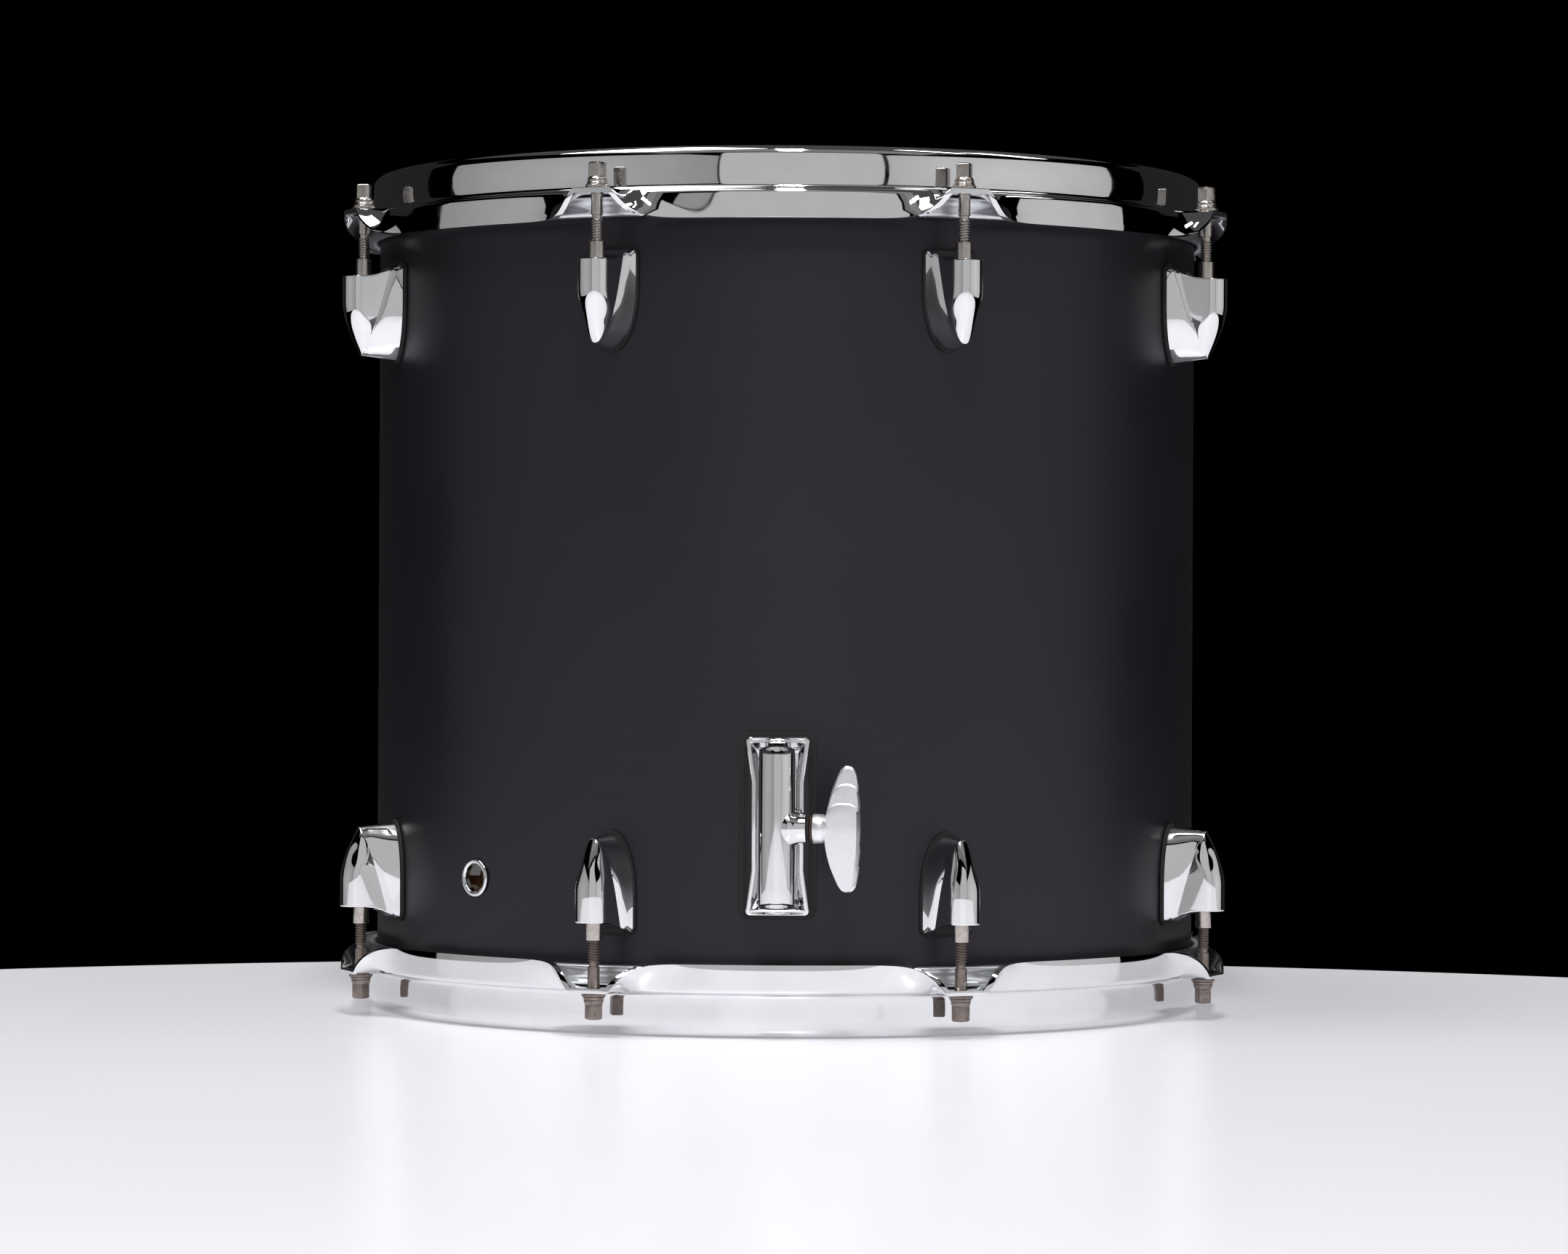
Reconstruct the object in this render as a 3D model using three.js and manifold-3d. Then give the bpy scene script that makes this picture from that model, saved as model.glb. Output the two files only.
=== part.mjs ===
// Floor tom, 16 inch across and 15 inch deep, without its legs.
// Millimetres, +Z up, -Y to the front. The origin is on the drum's axis, midway between its two
// bearing edges. Both ends are built alike: the batter end upright, the resonant end mirrored in Z.
// Stations round the drum are angles from the front, growing towards +X.
import * as THREE from "three";
import { mergeVertices } from "three/addons/utils/BufferGeometryUtils.js";
import Module from "manifold-3d";

const wasm = await Module();
wasm.setup();

// Clearances
const seatGap = 0.3; // between pieces that touch
const overshoot = 2; // how far a cutter runs past what it cuts
const weld = 0.5; // how far joined shapes sink into each other

// Shell
const shellRadius = 201.5;
const shellWall = 6.5;
const shellDepth = 381;
const edgePeakInset = 1.8; // from the outside of the shell to the peak of its bearing edge
const ringSides = 64; // facets of every round piece on the drum's axis

// Lugs and tension rods
const lugCount = 8;
const firstLugAngle = 22.5;
const rodReach = 17.3; // from the shell to the axis of the rods
const rodRadius = 2.78;
const rodSides = 8;
const rodEngagement = 16; // length of the rod inside its lug
const rodBoreClearance = 0.32;
const washerRadius = 5.6;
const washerThickness = 1.4;
const collarRadius = 4.3;
const collarHeight = 2.1;
const keyAcrossFlats = 6;
const keyHeadTop = 8.2; // below the rim of the hoop
const keyChamfer = 0.8;

// Counter hoops
const rimAboveEdge = 13.45; // from the bearing edge to the rim of the hoop
const hoopSheet = 2.3;
const hoopWallReach = 4.3; // from the shell to the outside of the upright wall
const rimFlatReach = 0.5; // from the shell to the outer edge of the rim's flat crest
const rimFlatWidth = 2.2;
const rimCurlWidth = 1.8; // from the flat crest to where the sheet ends inside the rim
const rimCurlDrop = 1;
const rimShoulder = 4.5; // height of the rounding outside the rim
const flangeDrop = 20.5; // from the rim to the outer face of the flange
const flangeReach = 10.9; // from the shell to where the flange turns into the skirt
const skirtLength = 13.6;
const earHalfFlat = 9.5; // arc length from the rod to where the ear starts to fold down
const earSweep = 9.5; // arc length over which most of the fold happens
const earStations = [7, 12, 17, 27, 50]; // arc lengths from the rod at which the hoop has a section
const earHoleClearance = 0.82;
const earHoleSides = 8;

// Heads
const filmThickness = 0.4;
const filmCollarLength = 16;
const fleshHoopClearance = 1.1; // to the inside of the skirt
const fleshHoopHeight = 9.4;

// Lug casings: heights run down from the bearing edge, widths are half widths
const lugTopDrop = 33.4; // from the bearing edge to the top of the casing at the shell
const lugHeight = 46.1;
const lugSaddle = 5.7; // how far the top dips between the shell and the tower
const lugSideReach = 3.4; // from the base plane to where the side wall starts to lean in
const lugBaseHalf = 12.2;
const lugShoulderHalf = 10.9;
const lugShoulderReach = 7.5; // from the shell to the shoulder of the casing
const lugCreaseReach = 18.5; // from the shell to the lower end of the crease
const lugCreaseTaper = 5;
const lugTowerHalf = 6.85;
const lugNoseReach = 10.3; // from the rod's axis to the nose of the tower
const lugTowerSweep = 9; // how far the nose curves back at its lower tip
const lugTipRise = 2.1; // the tower's tip ends this much above the base
const lugRoundFrom = 0.35; // share of the height below which the outline rounds off
const lugNoseFrom = 0.55; // the same for the tower
const lugRoundPower = 2.3;
const lugSweepPower = 1.7;
const lugSaddlePower = 1.6;
const lugLevels = [0, 0.3, 0.55, 0.75, 0.9, 0.98]; // shares of the height that have a section
const lipHalf = 13; // rubber seat under the casing
const lipThickness = 1.3;
const lipBorder = 1.2; // how far the seat shows above and below the casing
const sleeveRadius = 3.75;
const sleeveStand = 8.2; // how far the threaded sleeve stands out of the tower
const sleeveSides = 10;
const screwRadius = 2;
const screwClearance = 0.4;
const screwHeadRadius = 4.5;
const screwHeadHeight = 3;
const screwSides = 6;
const lugScrewDrop = 22; // below the top of the casing

// Leg brackets
const rearLegAngle = 135; // from the front leg to the rear ones, on either side
const bracketAngles = { front: 0, rear_right: rearLegAngle, rear_left: -rearLegAngle };
const bracketRise = 83.75; // from the resonant bearing edge to the middle of the bracket
const bracketHeight = 81.2;
const bracketEndHalf = 14.4;
const bracketWaistHalf = 11.8;
const bracketBaseHalf = 15.5;
const bracketWaistHeight = 20; // half the height of the narrow stretch
const bracketCorner = 1.6;
const bracketPlateReach = 9.5; // from the shell to the front of the frame
const pocketDepth = 2.5;
const pocketBorder = 3.2;
const gasketThickness = 1.5;
const gasketBorder = 2.2;
const legAxisReach = 30.5; // from the shell to the axis of the leg
const legBoreRadius = 5.3;
const barrelRadius = 7.8;
const barrelEndRadius = 7.2;
const barrelLength = 67.2;
const barrelTaper = 12; // length of the taper at each end of the barrel
const webHalf = 5.6;
const bossRadius = 7;
const bossReach = 13.9; // from the leg's axis to the end of the boss
const bossTilt = 7; // degrees by which the boss leans out from the shell's tangent
const roundSides = 12;
const bracketScrewRadius = 2.5;
const bracketScrewOffset = 29; // above and below the middle of the bracket

// Wing bolts, measured from the leg's axis outwards along the boss
const studRadius = 4;
const studClearance = 0.45;
const shoeThickness = 2.8;
const ringWasherThickness = 1;
const ringWasherRadius = 6.9;
const studCollarRadius = 6.6;
const studCollarThickness = 0.9;
const hubRadius = 6.7;
const hubLength = 4.7;
const studInHub = 7.5;
const wingHalfHeight = 28.4;
const wingStand = 5.5; // from the start of the hub to the inner edge of the wing
const wingDepth = 17.1; // from the inner to the outer edge at the hub
const wingTipStand = 9.5; // from the inner edge at the hub to the tips
const wingRoundPower = 2.2;
const wingTipShare = 0.985; // share of the half height at which the tips are cut
const wingThickness = 9.5;
const wingTipThickness = 4.5;
const wingLevels = 4; // sections from the hub to a tip

// Air vent
const ventAngle = -45;
const ventRise = 56.15; // from the resonant bearing edge
const ventBore = 6.6;
const ventTube = 7.6;
const ventFlange = 9;
const ventFlangeThickness = 1.1;

// Sizes that follow from the driving ones
const halfDepth = shellDepth / 2;
const rimHeight = halfDepth + rimAboveEdge;
const earHeight = rimHeight - flangeDrop;
const lugTop = halfDepth - lugTopDrop;
const towerTop = lugTop - lugSaddle;
const sleeveEnd = towerTop + sleeveStand;
const rodTip = sleeveEnd - rodEngagement;
const seatRadius = shellRadius + seatGap;
const rodCircleRadius = shellRadius + rodReach;
const hoopWallRadius = shellRadius + hoopWallReach;
const flangeRadius = shellRadius + flangeReach;
const legAxisRadius = shellRadius + legAxisReach;
const lipFront = seatRadius + lipThickness;
const gasketFront = seatRadius + gasketThickness;
const bracketBack = gasketFront + seatGap;
const bracketFront = shellRadius + bracketPlateReach;
const filmOuter = seatRadius + filmThickness;
const fleshHoopInner = filmOuter + seatGap;
const fleshHoopOuter = flangeRadius - hoopSheet - fleshHoopClearance;
const fleshHoopTop = earHeight - hoopSheet - seatGap;
const innerWall = shellRadius - shellWall;
const rodBore = rodRadius + rodBoreClearance;
const earHoleRadius = rodRadius + earHoleClearance;
const studBore = studRadius + studClearance;
const shoeFace = legBoreRadius + seatGap / 2;
const studStart = shoeFace + shoeThickness + seatGap;
const ringWasherStart = bossReach + seatGap;
const studCollarStart = ringWasherStart + ringWasherThickness + seatGap;
const hubStart = studCollarStart + studCollarThickness + seatGap;
const wingInner = hubStart + wingStand;
const wingOuter = wingInner + wingDepth;
const wingTip = wingInner + wingTipStand;

const degrees = THREE.MathUtils.degToRad;

const finish = {
  lacquer: new THREE.MeshStandardMaterial({ color: 0x2a282b, roughness: 0.5, metalness: 0 }),
  chrome: new THREE.MeshStandardMaterial({ color: 0xd6d8da, roughness: 0.08, metalness: 1 }),
  nickel: new THREE.MeshStandardMaterial({ color: 0x9b928a, roughness: 0.35, metalness: 1 }),
  aluminium: new THREE.MeshStandardMaterial({ color: 0xc9ccd0, roughness: 0.3, metalness: 1 }),
  coatedFilm: new THREE.MeshStandardMaterial({ color: 0xe9e7e0, roughness: 0.8, metalness: 0 }),
  clearFilm: new THREE.MeshStandardMaterial({ color: 0xc9cfd2, roughness: 0.2, metalness: 0 }),
  rubber: new THREE.MeshStandardMaterial({ color: 0x151416, roughness: 0.7, metalness: 0 }),
  silverPaint: new THREE.MeshStandardMaterial({ color: 0xc6c5ca, roughness: 0.45, metalness: 0.6 }),
  steel: new THREE.MeshStandardMaterial({ color: 0x7d6a62, roughness: 0.45, metalness: 1 }),
};

// A three.js geometry as a solid that can be joined and cut
function solidOf(geometry) {
  const bare = new THREE.BufferGeometry();
  bare.setAttribute("position", geometry.getAttribute("position"));
  bare.setIndex(geometry.index);
  const merged = mergeVertices(bare, 1e-4);
  return new wasm.Manifold(
    new wasm.Mesh({
      numProp: 3,
      vertProperties: new Float32Array(merged.attributes.position.array),
      triVerts: new Uint32Array(merged.index.array),
    }),
  );
}

function geometryOf(solid) {
  const { vertProperties, triVerts } = solid.getMesh();
  const geometry = new THREE.BufferGeometry();
  geometry.setAttribute("position", new THREE.BufferAttribute(vertProperties, 3));
  geometry.setIndex(new THREE.BufferAttribute(triVerts, 1));
  geometry.computeVertexNormals();
  return geometry;
}

// A solid turned about Z; its profile runs anticlockwise with the radius to the right
function turned(profile, sides, closed = false) {
  const points = profile.map(([radius, height]) => new THREE.Vector2(radius, height));
  if (closed) points.push(points[0].clone());
  return solidOf(new THREE.LatheGeometry(points, sides).rotateX(Math.PI / 2));
}

function disc(radius, bottom, top, sides) {
  return turned([[0, bottom], [radius, bottom], [radius, top], [0, top]], sides);
}

function ring(inner, outer, bottom, top, sides) {
  return turned([[inner, bottom], [outer, bottom], [outer, top], [inner, top]], sides, true);
}

// A piece made along +Z, laid along the radius of the shell or along the boss
function along(solid, axis) {
  const geometry = geometryOf(solid);
  if (axis === "radius") geometry.rotateY(Math.PI / 2);
  if (axis === "boss") geometry.rotateX(-Math.PI / 2).rotateZ(-degrees(bossTilt));
  return solidOf(geometry);
}

function moved(solid, x, y, z) {
  return solid.translate([x, y, z]);
}

function box(x0, x1, y0, y1, z0, z1) {
  const geometry = new THREE.BoxGeometry(x1 - x0, y1 - y0, z1 - z0);
  geometry.translate((x0 + x1) / 2, (y0 + y1) / 2, (z0 + z1) / 2);
  return solidOf(geometry);
}

// A closed surface through equal rings of points, each end capped by a strip across its ring
function loft(rings) {
  const count = rings[0].length;
  const last = (rings.length - 1) * count;
  const triangles = [];
  for (let level = 0; level + 1 < rings.length; level++) {
    for (let i = 0; i < count; i++) {
      const a = level * count + i;
      const b = level * count + ((i + 1) % count);
      triangles.push(a, b, b + count, a, b + count, a + count);
    }
  }
  const cap = (a, b, c) => triangles.push(c, b, a, last + a, last + b, last + c);
  for (let low = 0, high = count - 1; low + 1 < high; low++, high--) {
    cap(low, low + 1, high);
    if (low + 2 < high) cap(low + 1, high - 1, high);
  }
  const geometry = new THREE.BufferGeometry();
  geometry.setAttribute("position", new THREE.Float32BufferAttribute(rings.flat(2), 3));
  geometry.setIndex(triangles);
  return solidOf(geometry);
}

// The faceted outside of the shell, grown by a gap: what seats on the shell is cut with it
function shellCutter(radius) {
  return disc(radius, -shellDepth, shellDepth, ringSides);
}

function screw(radius, headRadius, tipReach) {
  const shank = disc(radius, innerWall - screwHeadHeight, tipReach, screwSides);
  const seat = innerWall - seatGap;
  const head = disc(headRadius, seat - screwHeadHeight, seat, screwSides);
  return along(shank.add(head), "radius");
}

function screwHole(radius) {
  const reach = shellRadius + overshoot;
  return along(disc(radius + screwClearance, innerWall - overshoot, reach, screwSides), "radius");
}

// A solid at a station of the shell, turned from its own frame (+X out) into the drum's frame
function atStation(solid, angle) {
  return solid.rotate([0, 0, angle - 90]);
}

// Wooden cylinder with a bearing edge at each end, drilled for its hardware
function makeShell() {
  const edgeFoot = halfDepth - (shellWall - edgePeakInset);
  const profile = [
    [shellRadius, -halfDepth + edgePeakInset],
    [shellRadius, halfDepth - edgePeakInset],
    [shellRadius - edgePeakInset, halfDepth],
    [innerWall, edgeFoot],
    [innerWall, -edgeFoot],
    [shellRadius - edgePeakInset, -halfDepth],
  ];
  let shell = turned(profile, ringSides, true);
  const lugHole = screwHole(screwRadius);
  for (let i = 0; i < lugCount; i++) {
    const angle = firstLugAngle + (i * 360) / lugCount;
    for (const height of [lugTop - lugScrewDrop, lugScrewDrop - lugTop]) {
      shell = shell.subtract(atStation(moved(lugHole, 0, 0, height), angle));
    }
  }
  const bracketHole = screwHole(bracketScrewRadius);
  for (const angle of Object.values(bracketAngles)) {
    for (const offset of [-bracketScrewOffset, bracketScrewOffset]) {
      const height = bracketRise - halfDepth + offset;
      shell = shell.subtract(atStation(moved(bracketHole, 0, 0, height), angle));
    }
  }
  const ventHole = disc(ventTube + seatGap, innerWall - overshoot, shellRadius + overshoot, roundSides);
  const ventCut = moved(along(ventHole, "radius"), 0, 0, ventRise - halfDepth);
  return shell.subtract(atStation(ventCut, ventAngle));
}

// Eyelet through the shell: a tube with a flange outside and a rolled one inside
function makeVent() {
  const front = shellRadius + seatGap + ventFlangeThickness;
  const innerSeat = Math.sqrt(innerWall ** 2 - ventFlange ** 2) - 2 * seatGap;
  const back = innerSeat - ventFlangeThickness;
  const profile = [
    [ventBore, back],
    [ventFlange, back],
    [ventFlange, innerSeat],
    [ventTube, innerSeat],
    [ventTube, seatRadius],
    [ventFlange, seatRadius],
    [ventFlange, front - ventFlangeThickness / 2],
    [ventFlange - ventFlangeThickness, front],
    [ventBore, front],
  ];
  return along(turned(profile, roundSides, true), "radius");
}

// How far the skirt has folded down at an arc length from the nearest rod, as an angle
function skirtAngle(arc) {
  return Math.asin(Math.tanh(Math.max(0, arc - earHalfFlat) / earSweep));
}

// One section of the hoop in radius and height, its skirt folded by an angle
function hoopSection(fold) {
  const wallInner = hoopWallRadius - hoopSheet;
  const flatOuter = shellRadius + rimFlatReach;
  const flatInner = flatOuter - rimFlatWidth;
  const under = earHeight - hoopSheet;
  const cos = Math.cos(fold);
  const sin = Math.sin(fold);
  const tipRadius = flangeRadius + skirtLength * cos;
  const tipHeight = earHeight - skirtLength * sin;
  return [
    [hoopWallRadius, earHeight],
    [hoopWallRadius, rimHeight - rimShoulder],
    [flatOuter, rimHeight],
    [flatInner, rimHeight],
    [flatInner - rimCurlWidth, rimHeight - rimCurlDrop - hoopSheet],
    [wallInner, rimHeight - rimShoulder - hoopSheet],
    [wallInner, under],
    [flangeRadius - hoopSheet * Math.tan(fold / 2), under],
    [tipRadius - hoopSheet * sin, tipHeight - hoopSheet * cos],
    [tipRadius, tipHeight],
    [flangeRadius, earHeight],
  ];
}

// Pressed steel hoop whose skirt turns up into an ear with a hole at every rod
function makeHoop() {
  const spacing = (2 * Math.PI) / lugCount;
  const half = (spacing * rodCircleRadius) / 2;
  const arcs = [...earStations.map((arc) => -arc).reverse(), ...earStations, half];
  const sections = [];
  for (let lug = 0; lug < lugCount; lug++) {
    for (const arc of arcs) {
      const angle = degrees(firstLugAngle) + lug * spacing + arc / rodCircleRadius;
      const section = hoopSection(skirtAngle(Math.abs(arc)));
      sections.push(section.map(([r, z]) => [r * Math.sin(angle), -r * Math.cos(angle), z]));
    }
  }
  const count = sections[0].length;
  const triangles = [];
  sections.forEach((section, s) => {
    const here = s * count;
    const next = ((s + 1) % sections.length) * count;
    for (let i = 0; i < count; i++) {
      const j = (i + 1) % count;
      triangles.push(here + i, next + i, next + j, here + i, next + j, here + j);
    }
  });
  const geometry = new THREE.BufferGeometry();
  geometry.setAttribute("position", new THREE.Float32BufferAttribute(sections.flat(2), 3));
  geometry.setIndex(triangles);
  let hoop = solidOf(geometry);
  const floor = earHeight - hoopSheet - overshoot;
  const drill = disc(earHoleRadius, floor, earHeight + overshoot, earHoleSides);
  const hole = moved(drill, rodCircleRadius, 0, 0);
  for (let lug = 0; lug < lugCount; lug++) {
    hoop = hoop.subtract(atStation(hole, firstLugAngle + (lug * 360) / lugCount));
  }
  return hoop;
}

// Aluminium ring that holds the film's edge, under the flange of the counter hoop
function makeFleshHoop() {
  return ring(fleshHoopInner, fleshHoopOuter, fleshHoopTop - fleshHoopHeight, fleshHoopTop, ringSides);
}

// Plastic film over the bearing edge, with its collar down inside the flesh hoop
function makeFilm() {
  const under = halfDepth + seatGap;
  const over = under + filmThickness;
  const collarEnd = halfDepth - filmCollarLength;
  const profile = [
    [0, under],
    [seatRadius, under],
    [seatRadius, collarEnd],
    [filmOuter, collarEnd],
    [filmOuter, over],
    [0, over],
  ];
  return turned(profile, ringSides);
}

// Tension rod: threaded shank, washer, collar and a square head for the drum key
function makeRod() {
  const seat = earHeight + seatGap;
  const collarFoot = seat + washerThickness;
  const collarTop = collarFoot + collarHeight;
  const headTop = rimHeight - keyHeadTop;
  const corner = keyAcrossFlats / Math.SQRT2;
  const body = turned(
    [
      [0, rodTip],
      [rodRadius, rodTip],
      [rodRadius, seat],
      [washerRadius, seat],
      [washerRadius, collarFoot],
      [collarRadius, collarTop],
      [0, collarTop],
    ],
    rodSides,
  );
  const key = turned(
    [
      [0, collarTop - weld],
      [corner, collarTop - weld],
      [corner, headTop - keyChamfer],
      [corner - keyChamfer, headTop],
      [0, headTop],
    ],
    4,
  );
  return body.add(key.rotate([0, 0, 45]));
}

// How much of its full width the casing has at a share of its height
function rounding(share, from) {
  const past = Math.max(0, (share - from) / (1 - from));
  return Math.sqrt(Math.max(0, 1 - past ** lugRoundPower));
}

// Heights of the casing's top and bottom at a distance from the drum's axis
function casingTop(radius) {
  const run = Math.max(0, (rodCircleRadius - radius) / (rodCircleRadius - lipFront));
  return towerTop + lugSaddle * Math.min(1, run) ** lugSaddlePower;
}

function casingBottom(radius) {
  const reach = lugCreaseReach + shellRadius - lipFront;
  return lugTop - lugHeight + lugTipRise * Math.max(0, (radius - lipFront) / reach);
}

// Half of the casing's outline at a share of its height, from the shell to the nose
function lugSection(share) {
  const round = rounding(share, lugRoundFrom);
  const base = lugBaseHalf * round;
  const lip = lipHalf * round;
  const tower = lugTowerHalf * rounding(share, lugNoseFrom);
  const sweep = Math.max(0, (share - lugRoundFrom) / (1 - lugRoundFrom)) ** lugSweepPower;
  const nose = rodCircleRadius + lugNoseReach - lugTowerSweep * sweep;
  const towerAxis = nose - tower;
  const creaseRun = 1 - (1 - share) ** 2;
  const creaseReach = lugShoulderReach + (lugCreaseReach - lugShoulderReach) * creaseRun;
  const creaseRadius = Math.min(shellRadius + creaseReach, towerAxis - weld);
  const creaseHalf = Math.max((lugShoulderHalf - lugCreaseTaper * share) * round, tower);
  const slant = Math.SQRT1_2 * tower;
  return {
    seat: [
      [seatRadius - overshoot, lip],
      [lipFront, lip],
    ],
    casing: [
      [lipFront, base],
      [Math.min(lipFront + lugSideReach, creaseRadius), base],
      [creaseRadius, creaseHalf],
      [towerAxis, tower],
      [towerAxis + slant, slant],
      [nose, 0],
    ],
  };
}

function lugRing(share) {
  const { seat, casing } = lugSection(share);
  const lipTop = lugTop + lipBorder;
  const lipHeight = lugHeight + 2 * lipBorder;
  const side = [
    ...seat.map(([r, half]) => [r, half, lipTop - lipHeight * share]),
    ...casing.map(([r, half]) => {
      const top = casingTop(r);
      return [r, half, top + (casingBottom(r) - top) * share];
    }),
  ];
  const mirrored = side.slice(0, -1).reverse().map(([r, half, z]) => [r, -half, z]);
  return [...side, ...mirrored];
}

// Die-cast lug on its rubber seat, with the threaded sleeve and its screw through the shell
function makeLug() {
  let lug = loft(lugLevels.map(lugRing));
  const sleeve = disc(sleeveRadius, towerTop - rodEngagement, sleeveEnd, sleeveSides);
  lug = lug.add(moved(sleeve, rodCircleRadius, 0, 0));
  const bore = disc(rodBore, rodTip - overshoot, sleeveEnd + overshoot, sleeveSides);
  lug = lug.subtract(moved(bore, rodCircleRadius, 0, 0));
  lug = lug.subtract(shellCutter(seatRadius));
  const fixing = screw(screwRadius, screwHeadRadius, lipFront + weld);
  return lug.add(moved(fixing, 0, 0, lugTop - lugScrewDrop));
}

// Outline of the leg bracket as half widths from its top to its bottom
function bracketOutline(endHalf, waistHalf, halfHeight, corner) {
  const right = [
    [endHalf - corner, halfHeight],
    [endHalf, halfHeight - corner],
    [waistHalf, bracketWaistHeight],
    [waistHalf, -bracketWaistHeight],
    [endHalf, corner - halfHeight],
    [endHalf - corner, -halfHeight],
  ];
  const left = right.map(([y, z]) => [-y, z]).reverse();
  return [...right, ...left];
}

function prism(outline, back, front) {
  const shape = new THREE.Shape(outline.map(([y, z]) => new THREE.Vector2(y, z)));
  const geometry = new THREE.ExtrudeGeometry(shape, { depth: front - back, bevelEnabled: false });
  geometry.rotateX(Math.PI / 2);
  geometry.rotateZ(Math.PI / 2);
  geometry.translate(back, 0, 0);
  return solidOf(geometry);
}

// The bracket's drafted frame, from a plain outline at the shell to a waisted one in front
function bracketFrame() {
  const halfHeight = bracketHeight / 2;
  const base = bracketOutline(bracketBaseHalf, bracketBaseHalf, halfHeight, bracketCorner);
  const front = bracketOutline(bracketEndHalf, bracketWaistHalf, halfHeight, bracketCorner);
  const lift = (outline, radius) => outline.map(([y, z]) => [radius, y, z]).reverse();
  const onShell = lift(base, shellRadius - overshoot);
  return loft([onShell, lift(base, bracketBack + weld), lift(front, bracketFront)]);
}

// Leg bracket: drafted frame, barrel for the leg, web between them and boss for the wing bolt
function makeBracket() {
  const halfLength = barrelLength / 2;
  const pocketHalf = bracketWaistHalf - pocketBorder;
  const pocketEnd = bracketHeight / 2 - pocketBorder;
  const pocketBox = box(
    bracketFront - pocketDepth,
    bracketFront + overshoot,
    -pocketHalf,
    pocketHalf,
    -pocketEnd,
    pocketEnd,
  );
  const barrel = turned(
    [
      [0, -halfLength],
      [barrelEndRadius, -halfLength],
      [barrelRadius, barrelTaper - halfLength],
      [barrelRadius, halfLength - barrelTaper],
      [barrelEndRadius, halfLength],
      [0, halfLength],
    ],
    roundSides,
  );
  const webBack = bracketFront - pocketDepth - weld;
  const web = box(webBack, legAxisRadius, -webHalf, webHalf, -halfLength, halfLength);
  const boss = along(disc(bossRadius, 0, bossReach, roundSides), "boss");
  const legBore = disc(legBoreRadius, -halfLength - overshoot, halfLength + overshoot, roundSides);
  const bolt = along(disc(studBore, 0, bossReach + overshoot, roundSides), "boss");
  let bracket = bracketFrame().subtract(pocketBox);
  bracket = bracket.add(web).add(moved(barrel, legAxisRadius, 0, 0)).add(moved(boss, legAxisRadius, 0, 0));
  bracket = bracket.subtract(moved(legBore, legAxisRadius, 0, 0));
  bracket = bracket.subtract(moved(bolt, legAxisRadius, 0, 0));
  bracket = bracket.subtract(shellCutter(bracketBack));
  const fixing = screw(bracketScrewRadius, screwHeadRadius, bracketBack + weld);
  for (const offset of [-bracketScrewOffset, bracketScrewOffset]) {
    bracket = bracket.add(moved(fixing, 0, 0, offset));
  }
  return bracket;
}

// Rubber gasket under the bracket, with holes for its screws
function makeBracketGasket() {
  const half = bracketBaseHalf + gasketBorder;
  const halfHeight = bracketHeight / 2 + gasketBorder;
  const outline = bracketOutline(half, half, halfHeight, bracketCorner + gasketBorder / 2);
  const slab = prism(outline, shellRadius - 2 * overshoot, gasketFront + 2 * overshoot);
  const reach = gasketFront + overshoot;
  const drill = disc(bracketScrewRadius + screwClearance, innerWall, reach, screwSides);
  const hole = along(drill, "radius");
  let gasket = slab.intersect(shellCutter(gasketFront)).subtract(shellCutter(seatRadius));
  for (const offset of [-bracketScrewOffset, bracketScrewOffset]) {
    gasket = gasket.subtract(moved(hole, 0, 0, offset));
  }
  return gasket;
}

// Pad in the boss that the wing bolt presses on the leg
function makeShoe() {
  return along(disc(studRadius, shoeFace, shoeFace + shoeThickness, roundSides), "boss");
}

// Threaded stud with a collar against the wing's hub
function makeStud() {
  const end = hubStart + studInHub;
  const profile = [
    [0, studStart],
    [studRadius, studStart],
    [studRadius, studCollarStart],
    [studCollarRadius, studCollarStart],
    [studCollarRadius, studCollarStart + studCollarThickness],
    [studRadius, studCollarStart + studCollarThickness],
    [studRadius, end],
    [0, end],
  ];
  return along(turned(profile, roundSides), "boss");
}

function makeRingWasher() {
  const end = ringWasherStart + ringWasherThickness;
  return along(ring(studBore, ringWasherRadius, ringWasherStart, end, roundSides), "boss");
}

// Inner and outer edge of the wing, and its thickness, at a share of the way to a tip
function wingSection(share) {
  const round = Math.sqrt(1 - share ** wingRoundPower);
  const inner = wingTip - (wingTip - wingInner) * round;
  const outer = wingTip + (wingOuter - wingTip) * round;
  const half = (wingTipThickness + (wingThickness - wingTipThickness) * (1 - share)) / 2;
  return { inner, outer, half: Math.min(half, (outer - inner) / 2) };
}

function wingRing(position) {
  const { inner, outer, half } = wingSection(Math.abs(position));
  const height = position * wingHalfHeight;
  const soft = Math.min(half, (outer - inner) / 2) / 2;
  return [
    [-half, inner + soft, height],
    [-half + soft, inner, height],
    [half - soft, inner, height],
    [half, inner + soft, height],
    [half, outer - soft, height],
    [half - soft, outer, height],
    [-half + soft, outer, height],
    [-half, outer - soft, height],
  ];
}

// Cast wing with its hub, and the socket that the stud is fixed in
function makeWing() {
  const shares = [];
  for (let level = 1; level <= wingLevels; level++) {
    shares.push(wingTipShare * Math.sin((level / wingLevels) * (Math.PI / 2)));
  }
  const positions = [...shares.map((share) => -share).reverse(), 0, ...shares];
  const blade = loft(positions.map(wingRing)).rotate([0, 0, -bossTilt]);
  const hubEnd = hubStart + hubLength + wingThickness / 2;
  const socketEnd = hubStart + studInHub + seatGap;
  const hub = along(disc(hubRadius, hubStart, hubEnd, roundSides), "boss");
  const socket = along(disc(studBore, hubStart - overshoot, socketEnd, roundSides), "boss");
  return blade.add(hub).subtract(socket);
}

const model = new THREE.Group();

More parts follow.
